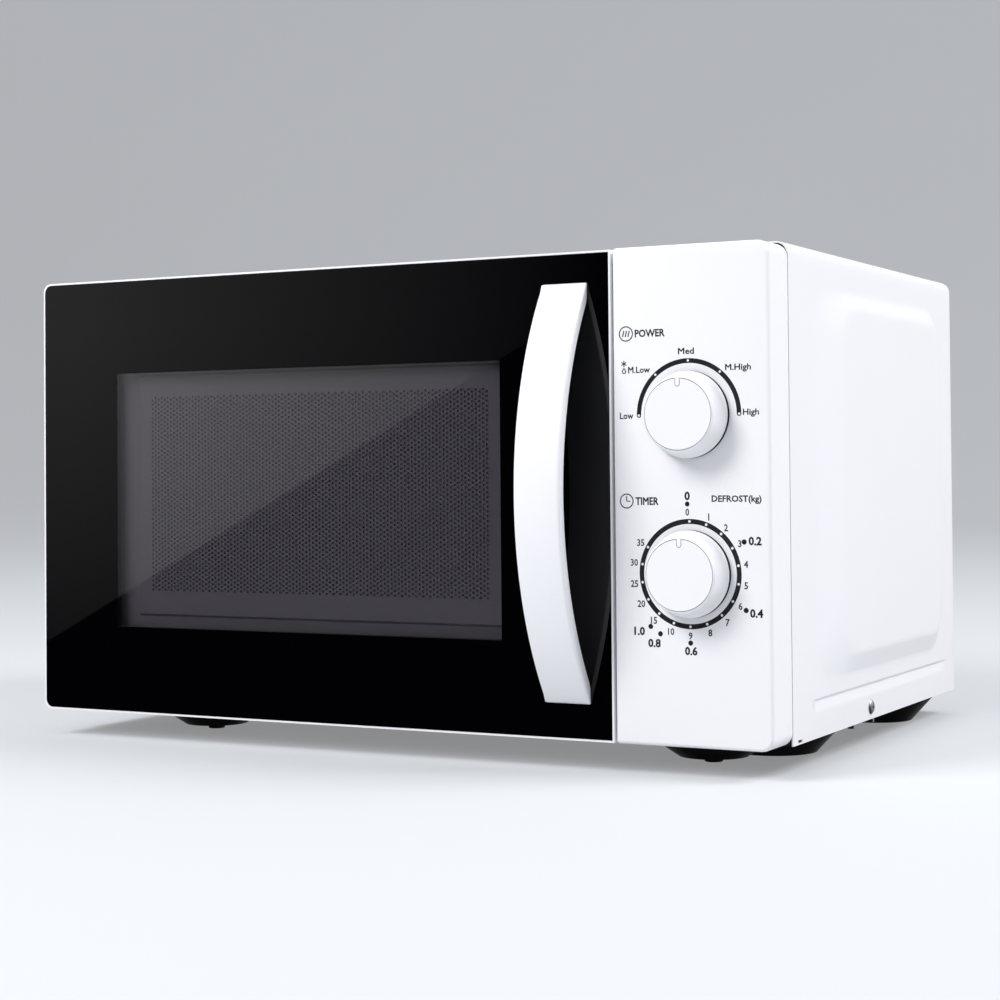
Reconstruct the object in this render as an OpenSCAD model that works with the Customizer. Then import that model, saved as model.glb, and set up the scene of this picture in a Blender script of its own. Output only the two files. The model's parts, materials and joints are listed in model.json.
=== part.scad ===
// Countertop microwave oven: side-hung glass door, two rotary controls and a glass turntable.
// X runs to the right seen from the front, Y runs to the back and Z runs up.
// The origin is on the floor, under the middle of the oven's outer box.
// Inside the modules, y = 0 is the face of the door glass and z = 0 is the cabinet's lower edge.

/* [Cabinet] */
// Width over the flat side faces
body_w = 440; // [438:1:442]
// Height of the cabinet without its feet
body_h = 243.5; // [243:0.5:246]
// Depth from the door glass to the rear edge of the cabinet
body_d = 310; // [309:1:320]
// Radius of the cabinet's folded edges
edge_r = 6; // [4:0.5:7]
// Height of the pressed panel that stands out of each side
panel_rise = 3.5; // [2:0.5:4]
// Thickness of the sheet steel
sheet = 0.8; // [0.8:0.1:1]
// Height of the feet under the cabinet
foot_h = 14.5; // [13:0.5:18]

/* [Door] */
// Thickness of the closed door
door_t = 25.2; // [25:0.1:25.4]
// Right edge of the door
door_right = 137.5; // [137:0.1:137.8]
// Thickness of the door glass
glass_t = 3.2; // [3:0.1:3.2]
// Radius of the door's two left corners
door_corner_r = 5; // [3:0.5:7]
// Distance of the hinge pins behind the door glass
hinge_y = 15; // [15:0.1:15.2]

/* [Handle] */
// Radius of the bow's outer face
handle_r = 179.2; // [178:0.2:181]
// How far the bow stands in front of the glass
handle_out = 33.9; // [32:0.1:35]
// Thickness of the bow
handle_t = 5.8; // [5:0.1:6.4]
// Width of the bow
handle_w = 25; // [22:1:26]

/* [Controls] */
// Radius of a knob at its rear rim
knob_r = 21; // [19:0.5:22]
// Radius of the groove round a knob's face
knob_face_r = 17; // [15:0.5:17]
// Height of a knob in front of the panel
knob_out = 13.5; // [13:0.5:16]
// Height of the power knob's axis
power_z = 159.8; // [156:0.2:164]
// Height of the timer knob's axis
timer_z = 83.4; // [80:0.2:86]

/* [Oven] */
// Width of the cooking space
oven_w = 315; // [313:1:316]
// Height of the cooking space
oven_h = 198; // [194:1:198]
// Depth of the cooking space
oven_d = 275; // [272:1:276]
// Diameter of the glass tray
tray_d = 245; // [240:1:255]
// Radius of the circle that the rollers run on
track_r = 96; // [94:1:98]
// Diameter of a roller
roller_d = 16; // [16:0.5:17]

/* [Hidden] */
$fn = 48;

half_w = body_w / 2;
cover_front = 26;                       // front edge of the cabinet cover
back_y = body_d - 1.8;                  // front face of the back plate
gland_out = 2;                          // how far the cord gland stands behind the cabinet
depth_all = handle_out + body_d + gland_out;
datum_y = handle_out - depth_all / 2;   // where the glass plane lies in the part's own frame

// screws, feet and the cord gland: Y and Z on a side, X and Z on the back, X and Y underneath
side_screw = [145, 6.5];
rear_screws = [[-150, 234], [0, 234], [150, 234]];
gland_at = [192, 27];
foot_at = [[165, 60], [-147, 66]];
front_dish_depth = 10.6;
foot_r = 4.7;
foot_neck_r = 3;
screw_hole_r = 2.1;
screw_head_r = 3.9;

door_left = -218.6;
door_z = [0.4, 241.4];
door_wall = 2.2;
rim = 1.1;                              // white border round the glass
ledge_y = [glass_t + 0.2, glass_t + 2.4];
hinge_x = -210.5;
hinge_arm_z = [14, 227];                // underside of the lower and upper hinge arms
hinge_arm_t = 2;
hinge_arm_r = 5;
hinge_back = cover_front + 2.3;         // rear face of the hinge flanges
pin_r = 3;
pin_len = 12;
swing_r = door_t - hinge_y;             // the door's rear left edge is round about the hinge
screen_lo = [-198, 12];
screen_hi = [115, 229];
screen_y = 7;
choke_y = 20;

handle_x = 112.75;
handle_z = 122.2;                       // middle height of the bow
handle_boss_z = 97.5;                   // bosses above and below the middle
handle_end_z = 103.6;                   // cut ends above and below the middle
boss_hole_r = 4.8;

panel_left = 138.8;
panel_z = [0.2, 242];
panel_depth = 25.4;
panel_wall = 2.4;
knob_x = 178.3;
shaft_r = 3;
fit = 0.05;                             // radial clearance of a shaft in its hole

oven_x = [-205, -205 + oven_w];
oven_z = [22, 22 + oven_h];
oven_y = cover_front + sheet;
oven_corner_r = 12;
oven_mid = [(oven_x[0] + oven_x[1]) / 2, oven_y + oven_d / 2];
oven_out = oven_x[1] + sheet;           // outside of the cooking space's right wall

roller_r = roller_d / 2;
roller_z = oven_z[0] + 0.1 + roller_r;
tray_z = roller_z + roller_r + 0.1;
ring_r = [track_r - 16, track_r - 8];
roller_angles = [0, 120, 240];
axle_r = 1.5;
drive_r = 3.5;                          // shaft of the turntable motor

latch_x = [119.5, 128.5];
latch_lift = 4;
hook_z = [74, 184];                     // underside of the lower and upper hook arms
hook_h = 8;
hook_drop = 4;
hook_tip_y = 48;
slot_x = [latch_x[0] - 2.5, latch_x[1] + 3];
plunger_r = 1.3;
plungers_at = [[124, 188], [120.9, 78], [127.1, 78]];
bracket_back = 51;

window_y = [120, 200];                  // where the microwaves enter the cooking space
window_z = [150, 188];
lamp_at = [124, 224, 97];
magnetron_pos = [140, 176, 169];        // where the antenna leaves the magnetron
magnetron_h = 90;
magnetron_w = 76;
antenna_hole_r = 10;
yoke_len = 50;
core_lo = [124, 112, 4];                // transformer laminations
core_hi = [212, 172, 80];
limb = 15;
winding_room = 14;
transformer_bolts_at = [[120, 126], [120, 158], [215.4, 126], [215.4, 158]];
cap_pos = [156, 216];
cap_r = 16;
cap_half = 10;                          // the capacitor's round ends stand this far from its middle

fan_pos = [166, 172];
fan_y = 262;                            // front of the fan blades' space
stator_y = [228, 242];
post_z = 54;                            // fan posts above and below the shaft
blade_r = 44;
ring_in = 47;
shroud_y = [fan_y + 4, back_y];

// ---- shared shapes ----

// Everything inside is placed from the glass plane and the cabinet's lower edge
module place() {
    translate([0, datum_y, foot_h]) children();
}

// A block between two corners
module block(lo, hi) {
    translate(lo) cube(hi - lo);
}

// A flat outline in X and Z, made solid from y = from to y = to
module along_y(from, to) {
    translate([0, to, 0]) rotate([90, 0, 0]) linear_extrude(to - from) children();
}

// A flat outline in Y and Z, made solid from x = from to x = to
module along_x(from, to) {
    translate([from, 0, 0]) rotate([90, 0, 90]) linear_extrude(to - from) children();
}

// A flat outline in X and Y, made solid from z = from to z = to
module along_z(from, to) {
    translate([0, 0, from]) linear_extrude(to - from) children();
}

// A rectangle between two corners whose corners are all round
module round_rect(lo, hi, r) {
    translate([lo.x + r, lo.y]) square([hi.x - lo.x - 2 * r, hi.y - lo.y]);
    translate([lo.x, lo.y + r]) square([hi.x - lo.x, hi.y - lo.y - 2 * r]);
    for (x = [lo.x + r, hi.x - r], y = [lo.y + r, hi.y - r])
        translate([x, y]) circle(r);
}

// A rod along Y, along X or along Z
module rod_y(pos, r, length) {
    translate(pos) rotate([-90, 0, 0]) cylinder(r = r, h = length);
}

module rod_x(pos, r, length) {
    translate(pos) rotate([0, 90, 0]) cylinder(r = r, h = length);
}

module rod_z(pos, r, length) {
    translate(pos) cylinder(r = r, h = length);
}

// A grid of round holes through a wall that faces X
module wall_holes(x, centre, count, pitch, r, depth) {
    for (i = [0 : count.x - 1], j = [0 : count.y - 1]) {
        y = centre.x + (i - (count.x - 1) / 2) * pitch;
        z = centre.y + (j - (count.y - 1) / 2) * pitch;
        rod_x([x, y, z], r, depth);
    }
}

// ---- cabinet ----

// The room that the cover takes up, smaller by a margin on every closed side
module cover_room(margin) {
    r = edge_r - margin;
    w = half_w - margin;
    top = body_h - margin;
    back = body_d - margin;
    low = -edge_r * 2;
    intersection() {
        along_y(cover_front, back) round_rect([-w, low], [w, top], r);
        along_x(-w, w) round_rect([cover_front - 2 * edge_r, low], [back, top], r);
        along_z(low / 2, top) round_rect([-w, cover_front - 2 * edge_r], [w, back], r);
    }
}

// The raised panel pressed into a side, as a solid that stands out of the side face
module side_panel(grow) {
    base_lo = [60, 27];
    base_hi = [276, 225];
    top_lo = [100, 38];
    top_hi = [270, 214];
    hull() {
        along_x(half_w - 2, half_w + grow) round_rect(base_lo, base_hi, 22, $fn = 32);
        along_x(half_w - 2, half_w + panel_rise + grow) round_rect(top_lo, top_hi, 18, $fn = 32);
    }
}

module cabinet_cover() {
    bead_y = [57, 290];
    bead_z = [14.5, 20.5];
    bead_depth = 1.2;
    flange = 12;
    color("white") place() difference() {
        union() {
            difference() {
                cover_room(0);
                cover_room(sheet);
            }
            for (s = [0, 1]) mirror([s, 0, 0]) {
                side_panel(0);
                block([half_w - sheet - bead_depth, bead_y[0], bead_z[0]],
                      [half_w, bead_y[1], bead_z[1]]);
            }
        }
        // open at the bottom
        block([-half_w - 9, 0, -20], [half_w + 9, body_d + 9, 0]);
        // open at the back, inside the rear flange
        block([-half_w + flange, body_d - 2, -1], [half_w - flange, body_d + 1, body_h - flange]);
        for (s = [0, 1]) mirror([s, 0, 0]) {
            // the sheet follows the raised panel, so its back is hollow
            side_panel(-sheet);
            // groove pressed in above the lower edge
            block([half_w - bead_depth, bead_y[0] + sheet, bead_z[0] + sheet],
                  [half_w + 1, bead_y[1] - sheet, bead_z[1] - sheet]);
            rod_x([half_w - 2, side_screw[0], side_screw[1]], screw_hole_r, 4);
            // hook slot at the lower front corner
            block([half_w - 1, 33, 0.8], [half_w + 1, 39, 2.2]);
        }
        for (at = rear_screws) rod_y([at.x, body_d - 2, at.y], screw_hole_r, 4);
    }
}

// A dish pressed down out of the floor, at a centre, with its top and bottom radius and depth;
// grow makes it larger all round, and above carries its cone on through the floor
module dish(centre, r_top, r_bottom, depth, grow, above) {
    slope = (r_top - r_bottom) / depth;
    translate([centre.x, centre.y, -depth - grow])
        cylinder(r1 = r_bottom + grow, r2 = r_top + grow + slope * above, h = depth + grow + above);
}

module dishes(grow, above) {
    for (at = foot_at) dish(at, 34, 17, front_dish_depth, grow, above);
    dish([184, 94], 33, 22, front_dish_depth + 0.6, grow, above);
    for (x = [-184, 184]) dish([x, 262], 34, 21, foot_h - sheet, grow, above);
}

module base_plate() {
    side = half_w - sheet - 0.2;
    front = 27;
    back = body_d - 2;
    corner = 6;
    lip = 12;
    color("dimgray") place() difference() {
        union() {
            along_z(0, lip) round_rect([-side, front], [side, back], corner);
            intersection() {
                dishes(sheet, 0);
                along_z(-foot_h, 0) round_rect([-side, front], [side, back], corner);
            }
        }
        along_z(sheet, lip + 1)
            round_rect([-side + sheet, front + sheet], [side - sheet, back - sheet], corner - sheet);
        intersection() {
            dishes(0, sheet + 0.2);
            along_z(-foot_h, sheet + 1)
                round_rect([-side + sheet, front + sheet], [side - sheet, back - sheet], corner - sheet);
        }
        for (at = foot_at) rod_z([at.x, at.y, -foot_h], foot_neck_r + 0.2, foot_h);
        for (s = [-1, 1]) rod_x([s * side - 2, side_screw[0], side_screw[1]], screw_hole_r, 4);
        // air slots under the power parts and under the cooking space
        for (i = [0 : 7]) block([130, 168 + 7 * i, -1], [144, 171 + 7 * i, 2]);
        for (i = [0 : 9]) block([-150, 120 + 7 * i, -1], [-110, 123 + 7 * i, 2]);
        for (at = transformer_bolts_at) rod_z([at.x, at.y, -1], screw_hole_r, 3);
    }
}

module front_feet() {
    color("black") place()
        for (at = foot_at) {
            neck = -front_dish_depth - sheet;
            rod_z([at.x, at.y, -foot_h], foot_r, foot_h + neck);
            rod_z([at.x, at.y, neck - 0.5], foot_neck_r, sheet + 1);
            rod_z([at.x, at.y, -front_dish_depth + 0.1], foot_r, 2);
        }
}

module back_plate() {
    y = back_y;
    half = half_w - 5.2;
    intake_r = 44;
    color("silver") place() difference() {
        block([-half, y, 1], [half, y + sheet, 238.5]);
        // intake slots behind the fan
        for (i = [0 : 11]) {
            z = fan_pos[1] - 38.5 + 7 * i;
            reach = sqrt(pow(intake_r, 2) - pow(z + 1.5 - fan_pos[1], 2));
            block([fan_pos[0] - reach, y - 1, z], [fan_pos[0] + reach, y + 2, z + 3]);
        }
        // outlet slots behind the cooking space
        for (i = [0 : 9], x = [-190, -150])
            block([x, y - 1, 130 + 7 * i], [x + 34, y + 2, 133 + 7 * i]);
        for (at = rear_screws) rod_y([at.x, y - 1, at.y], screw_hole_r, 3);
        rod_y([gland_at[0], y - 1, gland_at[1]], 8, 3);
    }
}

// A screw along Z with its head on top: a head, a shank and a cross recess
module pan_screw(head_r, head_h, shank_r, length) {
    difference() {
        union() {
            cylinder(r = head_r, h = head_h);
            translate([0, 0, -length]) cylinder(r = shank_r, h = length);
        }
        for (a = [0, 90]) rotate(a)
            translate([-head_r * 0.6, -0.5, head_h - 0.8]) cube([head_r * 1.2, 1, 2]);
    }
}

module cabinet_screws() {
    color("silver") place() {
        for (s = [-1, 1])
            translate([s * half_w, side_screw[0], side_screw[1]]) rotate([0, s * 90, 0])
                pan_screw(screw_head_r, 1.8, 2, 7);
        for (at = rear_screws)
            translate([at.x, body_d, at.y]) rotate([-90, 0, 0]) pan_screw(screw_head_r, 1.6, 2, 7);
    }
}

module cord_gland() {
    flange_r = 10;
    neck_r = 7.8;
    bore_r = 4;
    color("black") place() difference() {
        union() {
            rod_y([gland_at[0], back_y - 6, gland_at[1]], flange_r, 6);
            rod_y([gland_at[0], back_y - 1, gland_at[1]], neck_r, 3);
            rod_y([gland_at[0], back_y + sheet, gland_at[1]], flange_r, 3);
        }
        rod_y([gland_at[0], back_y - 10, gland_at[1]], bore_r, 20);
    }
}

// ---- cooking space ----

// The room that each hook needs in a wall, over its whole lift
module hook_slots(y, thick) {
    for (z = hook_z)
        block([slot_x[0], y, z - hook_drop - 1.5], [slot_x[1], y + thick, z + hook_h + latch_lift + 1]);
}

module front_plate() {
    color("whitesmoke") place() difference() {
        along_y(cover_front, cover_front + sheet)
            round_rect([-half_w + 1.2, 1.2], [door_right + 0.3, 242.2], 5.5);
        along_y(cover_front - 1, cover_front + 2)
            round_rect([oven_x[0], oven_z[0]], [oven_x[1], oven_z[1]], oven_corner_r);
        hook_slots(cover_front - 1, 3);
        for (z = hinge_arm_z)
            block([hinge_x - 5.5, cover_front - 1, z - 0.5],
                  [hinge_x + 5.5, cover_front + 2, z + hinge_arm_t + 0.5]);
    }
}

module cavity_box() {
    out = sheet;
    color("gainsboro") place() difference() {
        along_y(oven_y, oven_y + oven_d + out)
            round_rect([oven_x[0] - out, oven_z[0] - out], [oven_x[1] + out, oven_z[1] + out],
                       oven_corner_r + out);
        along_y(oven_y - 1, oven_y + oven_d)
            round_rect([oven_x[0], oven_z[0]], [oven_x[1], oven_z[1]], oven_corner_r);
        block([oven_x[1] - 1, window_y[0], window_z[0]], [oven_x[1] + 2, window_y[1], window_z[1]]);
        // air inlet, lamp grid and air outlet
        wall_holes(oven_x[1] - 1, [66, 196], [6, 4], 6, 1.75, 3);
        wall_holes(oven_x[1] - 1, [lamp_at.y, lamp_at.z], [5, 5], 5.5, 1.75, 3);
        for (i = [0 : 4], j = [0 : 4])
            rod_y([-184 + 6 * i, oven_y + oven_d - 1, 176 + 6 * j], 1.75, 3);
        rod_z([oven_mid.x, oven_mid.y, oven_z[0] - 2], 6, 4);
    }
}

module waveguide() {
    x0 = oven_out;
    x1 = magnetron_pos.x;
    lo = [window_y[0] - 1, window_z[0] - 1];
    hi = [window_y[1] + 1, window_z[1] + 1];
    color("silver") place() difference() {
        union() {
            block([x0, lo.x - sheet, lo.y - sheet], [x1, hi.x + sheet, hi.y + sheet]);
            block([x0, lo.x - 8, lo.y - 8], [x0 + sheet, hi.x + 8, hi.y + 8]);
        }
        block([x0 - 1, lo.x, lo.y], [x1 - sheet, hi.x, hi.y]);
        rod_x([x1 - 2, magnetron_pos.y, magnetron_pos.z], antenna_hole_r, 4);
    }
}

module waveguide_cover() {
    color("tan") place()
        block([oven_x[1] - 0.5, window_y[0] - 6, window_z[0] - 6],
              [oven_x[1], window_y[1] + 6, window_z[1] + 6]);
}

module turntable_motor() {
    top = oven_z[0] - sheet;
    color("silver") place() difference() {
        union() {
            rod_z([oven_mid.x, oven_mid.y, 3], 25, 15);
            rod_z([oven_mid.x, oven_mid.y, 18], 8, top - 18);
            for (s = [-1, 1])
                block([oven_mid.x + s * 30 - 6, oven_mid.y - 5, top - 1.2],
                      [oven_mid.x + s * 30 + 6, oven_mid.y + 5, top]);
            for (s = [-1, 1])
                block([oven_mid.x + s * 25 - 2, oven_mid.y - 5, 14],
                      [oven_mid.x + s * 25 + 2, oven_mid.y + 5, top]);
        }
        rod_z([oven_mid.x, oven_mid.y, 6], drive_r + fit, 30);
    }
}

module turntable_coupler() {
    floor_z = oven_z[0];
    color("white") place() translate([oven_mid.x, oven_mid.y, 0]) {
        rod_z([0, 0, 8], drive_r, floor_z - 6);
        rod_z([0, 0, floor_z + 0.3], 9, tray_z - floor_z - 1);
        for (a = roller_angles) rotate(a)
            block([7, -2.5, floor_z + 5], [22, 2.5, tray_z - 0.7]);
    }
}

module glass_tray() {
    r = tray_d / 2;
    glass = 4;
    color("lightcyan", 0.5) place() translate([oven_mid.x, oven_mid.y, 0]) {
        rotate_extrude($fn = 96) polygon([
            [0, tray_z], [r - 14, tray_z], [r, tray_z + 11.5], [r, tray_z + 13.5],
            [r - 2.2, tray_z + 13.5], [r - 15.5, tray_z + glass], [0, tray_z + glass]
        ]);
        for (a = [60, 180, 300]) rotate(a)
            block([14, -4, tray_z - 4], [20, 4, tray_z + 1]);
    }
}

module roller_ring() {
    h = 7;
    color("white") place() translate([oven_mid.x, oven_mid.y, roller_z]) {
        rotate_extrude($fn = 96) translate([ring_r[0], -h / 2]) square([ring_r[1] - ring_r[0], h]);
        for (a = roller_angles) rotate(a) {
            rod_x([ring_r[1] - 2, 0, 0], 3, track_r - 3.8 - ring_r[1] + 2);
            rod_x([ring_r[1] - 2, 0, 0], axle_r, track_r + 5 - ring_r[1] + 2);
            rod_x([track_r + 3.8, 0, 0], 2.2, 1.4);
        }
    }
}

// One roller on its axle, at the given angle round the ring
module roller(angle) {
    color("ghostwhite") place() translate([oven_mid.x, oven_mid.y, roller_z]) rotate(angle)
        difference() {
            union() {
                rod_x([track_r - 3.5, 0, 0], roller_r - 0.8, 7);
                rod_x([track_r - 2.5, 0, 0], roller_r, 5);
            }
            rod_x([track_r - 5, 0, 0], axle_r + fit, 10);
        }
}

// ---- power parts ----

module magnetron_yoke() {
    wall = 1.5;
    color("silver") place() translate(magnetron_pos) difference() {
        block([0, -magnetron_w / 2, -magnetron_h / 2], [yoke_len, magnetron_w / 2, magnetron_h / 2]);
        block([wall, -magnetron_w, -magnetron_h / 2 + wall],
              [yoke_len - wall, magnetron_w, magnetron_h / 2 - wall]);
        rod_x([-1, 0, 0], antenna_hole_r, 4);
        rod_x([yoke_len - 3, 0, 0], antenna_hole_r, 4);
    }
}

module magnetron_core() {
    inside = yoke_len - 3;
    fin = 0.8;
    color("goldenrod") place() translate(magnetron_pos) {
        rod_x([-20, 0, 0], 7.5, 24);
        for (x = [1.5, 1.5 + inside - 8]) rod_x([x, 0, 0], 27, 8);
        rod_x([1.5, 0, 0], 20, inside);
        for (i = [0 : 5])
            block([14 + 4.4 * i, -36, -38], [14 + 4.4 * i + fin, 36, 38]);
    }
}

module magnetron_filter_box() {
    color("lightgray") place() translate([magnetron_pos.x + yoke_len, magnetron_pos.y, magnetron_pos.z]) {
        difference() {
            block([0, -30, -25], [26, 30, 25]);
            block([-1, -29.2, -24.2], [25.2, 29.2, 24.2]);
        }
        rod_z([13, 0, -40], 8, 15);
    }
}

module thermal_cutout() {
    top = magnetron_pos.z + magnetron_h / 2;
    color("black") place() translate([magnetron_pos.x + 25, magnetron_pos.y, top]) {
        rod_z([0, 0, 0], 8, 7);
        for (s = [-1, 1]) block([s * 4 - 3, -0.4, 6], [s * 4 + 3, 0.4, 14]);
    }
}

module transformer_core() {
    w = winding_room;
    color("dimgray") place() {
        difference() {
            block(core_lo, core_hi);
            for (x = [core_lo.x + limb, core_hi.x - limb - w])
                block([x, core_lo.y - 1, core_lo.z + limb], [x + w, core_hi.y + 1, core_hi.z - limb]);
        }
        // foot plate
        difference() {
            block([116.5, core_lo.y + 4, sheet], [217.8, core_hi.y - 4, core_lo.z]);
            for (at = transformer_bolts_at) rod_z([at.x, at.y, 0], screw_hole_r, 6);
        }
    }
}

module transformer_windings() {
    gap = 0.4;
    x0 = core_lo.x + limb + gap;
    x1 = core_hi.x - limb - gap;
    hole_x = [x0 + winding_room - 2 * gap, x1 - winding_room + 2 * gap];
    overhang = 12;
    color("orangered") place()
        for (z = [20, 43]) difference() {
            along_z(z, z + 21)
                round_rect([x0, core_lo.y - overhang], [x1, core_hi.y + overhang], 10);
            block([hole_x[0], core_lo.y - gap, z - 1], [hole_x[1], core_hi.y + gap, z + 22]);
        }
}

module chassis_screws() {
    color("silver") place()
        for (at = transformer_bolts_at)
            translate([at.x, at.y, core_lo.z]) pan_screw(2.2, 2, 2, core_lo.z + 3);
}

// An outline with two round ends about the capacitor's middle
module capacitor_outline(r) {
    translate([cap_pos.x - cap_half, cap_pos.y - r]) square([2 * cap_half, 2 * r]);
    for (s = [-1, 1]) translate([cap_pos.x + s * cap_half, cap_pos.y]) circle(r);
}

module capacitor() {
    color("silver") place() {
        along_z(6, 82) capacitor_outline(cap_r);
        // blade terminals
        for (s = [-1, 1])
            block([cap_pos.x + s * cap_half - 3, cap_pos.y - 0.4, 81],
                  [cap_pos.x + s * cap_half + 3, cap_pos.y + 0.4, 90]);
    }
}

module capacitor_clamp() {
    band_z = [46, 60];
    band_t = 1.2;
    leg_x = cap_pos.x + cap_half + cap_r + 0.3;
    color("silver") place() {
        difference() {
            along_z(band_z[0], band_z[1]) capacitor_outline(cap_r + 0.1 + band_t);
            along_z(band_z[0] - 1, band_z[1] + 1) capacitor_outline(cap_r + 0.1);
        }
        block([leg_x, cap_pos.y - 8, sheet], [leg_x + band_t, cap_pos.y + 8, band_z[1]]);
        block([leg_x, cap_pos.y - 8, sheet], [leg_x + 12, cap_pos.y + 8, sheet + band_t]);
    }
}

module high_voltage_diode() {
    x = 118;
    y = cap_pos.y - 14;
    lead_z = 86;
    color("black") place() {
        rod_z([x, y, sheet], 4, 1.2);
        rod_z([x, y, sheet + 1], 0.8, lead_z - sheet - 1);
        rod_z([x, y, 44], 3.4, 20);
        rod_x([x, y, lead_z], 0.8, cap_pos.x - cap_half - x);
        rod_y([cap_pos.x - cap_half, y - 0.4, lead_z], 0.8, 14);
    }
}

module noise_filter_board() {
    y = body_d - 14;
    lo = [122, 42];
    hi = [208, 106];
    color("green") place() {
        block([lo.x, y, lo.y], [hi.x, y + 1.6, hi.y]);
        for (x = [lo.x + 6, hi.x - 6], z = [lo.y + 6, hi.y - 6])
            rod_y([x, y + 1, z], 3, back_y - y - 1);
        // line filter coil, suppression capacitor, fuse with its clips and the relay
        difference() {
            rod_y([142, y - 14, 62], 13, 14.5);
            rod_y([142, y - 15, 62], 5, 14.5);
        }
        block([162, y - 15, 52], [180, y + 0.5, 78]);
        block([186, y - 14, 54], [200, y + 0.5, 80]);
        rod_x([146, y - 6, 93], 2.6, 30);
        for (x = [148, 168]) block([x, y - 8, 90], [x + 6, y + 0.5, 96]);
    }
}

// ---- fan and lamp ----

module fan_shroud() {
    plate_t = 2;
    post_r = 3.5;
    post_y = stator_y[1] + 4;
    color("ivory") place() difference() {
        union() {
            block([113, shroud_y[1] - plate_t, 112], [214.5, shroud_y[1], 232]);
            rod_y([fan_pos[0], shroud_y[0], fan_pos[1]], ring_in + 2, shroud_y[1] - shroud_y[0]);
            for (s = [-1, 1])
                rod_y([fan_pos[0], post_y, fan_pos[1] + s * post_z], post_r, shroud_y[1] - post_y - 1);
        }
        rod_y([fan_pos[0], shroud_y[0] - 1, fan_pos[1]], ring_in, 60);
    }
}

module fan_motor() {
    x = fan_pos[0];
    z = fan_pos[1];
    y0 = stator_y[0];
    y1 = stator_y[1];
    color("sienna") place() {
        difference() {
            block([x - 25, y0, z - 20], [x + 25, y1, z + 36]);
            rod_y([x, y0 - 1, z], 12, y1 - y0 + 2);
            block([x - 16, y0 - 1, z + 16], [x + 16, y1 + 1, z + 28]);
        }
        // coil round the upper limb
        difference() {
            block([x - 15, y0 - 5, z + 17], [x + 15, y1 + 3.5, z + 44]);
            block([x - 16, y0, z + 28], [x + 16, y1, z + 36]);
        }
        // rear bearing arm that carries the motor on the shroud's posts
        difference() {
            union() {
                block([x - 6, y1 + 4, z - 58], [x + 6, y1 + 6, z + 58]);
                rod_y([x, y1 + 4, z], 6, 6);
                for (s = [-1, 1])
                    block([x + s * 20 - 3, y1 - 0.1, z - 6], [x + s * 20 + 3, y1 + 6, z + 6]);
                block([x - 20, y1 + 4, z - 6], [x + 20, y1 + 6, z + 6]);
            }
            rod_y([x, y1, z], 2 + fit, 20);
            for (s = [-1, 1]) rod_y([x, y1, z + s * post_z], 3.6, 20);
        }
    }
}

module fan_rotor() {
    color("gray") place() {
        rod_y([fan_pos[0], stator_y[0], fan_pos[1]], 11.3, stator_y[1] - stator_y[0]);
        rod_y([fan_pos[0], stator_y[0] - 6, fan_pos[1]], 2, 52);
    }
}

module fan_blade() {
    hub = [fan_y + 6, fan_y + 24];
    pitch = 32;
    color("lightgray") place() difference() {
        union() {
            rod_y([fan_pos[0], hub[0], fan_pos[1]], 10, hub[1] - hub[0]);
            intersection() {
                for (a = [0 : 60 : 300])
                    translate([fan_pos[0], (hub[0] + hub[1]) / 2, fan_pos[1]]) rotate([0, a, 0])
                        rotate([0, 0, pitch]) block([-14, -0.75, 8], [14, 0.75, blade_r + 2]);
                rod_y([fan_pos[0], hub[0] - 4, fan_pos[1]], blade_r, 30);
            }
        }
        rod_y([fan_pos[0], hub[0] - 1, fan_pos[1]], 2 + fit, 30);
    }
}

module oven_lamp() {
    color("lightyellow", 0.6) place() translate(lamp_at) {
        rod_y([0, -12, 0], 10, 18);
        translate([0, -12, 0]) intersection() {
            sphere(10);
            block([-11, -11, -11], [11, 0.01, 11]);
        }
        rod_y([0, 5.9, 0], 7, 16);
    }
}

module lamp_holder() {
    color("ivory") place() difference() {
        union() {
            rod_y([lamp_at.x, lamp_at.y + 10, lamp_at.z], 9, 16);
            block([oven_out, lamp_at.y + 11, lamp_at.z - 9],
                  [lamp_at.x, lamp_at.y + 24, lamp_at.z + 9]);
        }
        rod_y([lamp_at.x, lamp_at.y + 5, lamp_at.z], 7.1, 17);
    }
}

// ---- door lock switches ----

module interlock_bracket() {
    x0 = 113;
    x1 = 136.5;
    wall = 1.6;
    z0 = 58;
    z1 = 206;
    y0 = 27;
    y1 = bracket_back;
    color("white") place() difference() {
        union() {
            difference() {
                block([x0, y0, z0], [x1, y1, z1]);
                block([x0 + wall, y0 - 1, z0 + wall], [x1 - wall, y1 - wall, z1 - wall]);
            }
            // a ledge behind each hook's nose keeps the door shut
            for (z = hook_z) block([x0 + 1, 36, z - 8], [x1 - 1, 41.5, z - 0.8]);
            block([x0 + 1, y0, 120], [x1 - 1, y1 - 0.5, 122]);
        }
        for (at = plungers_at) rod_y([at.x, y1 - 3, at.y], plunger_r + 0.3, 5);
    }
}

// A switch body behind the lock bracket, with a hole for its plunger
module lock_switch(at) {
    y = bracket_back;
    color("dimgray") place() difference() {
        union() {
            block([at.x - 3, y, at.y - 7], [at.x + 3, y + 10, at.y + 13]);
            for (z = [at.y - 4, at.y + 4, at.y + 10])
                block([at.x - 2, y + 9.5, z], [at.x + 2, y + 15, z + 0.8]);
        }
        rod_y([at.x, y - 1, at.y], plunger_r + fit, 7);
    }
}

module lock_plunger(at) {
    color("red") place() rod_y([at.x, hook_tip_y + 0.3, at.y], plunger_r, 6);
}

// ---- controls ----

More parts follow.
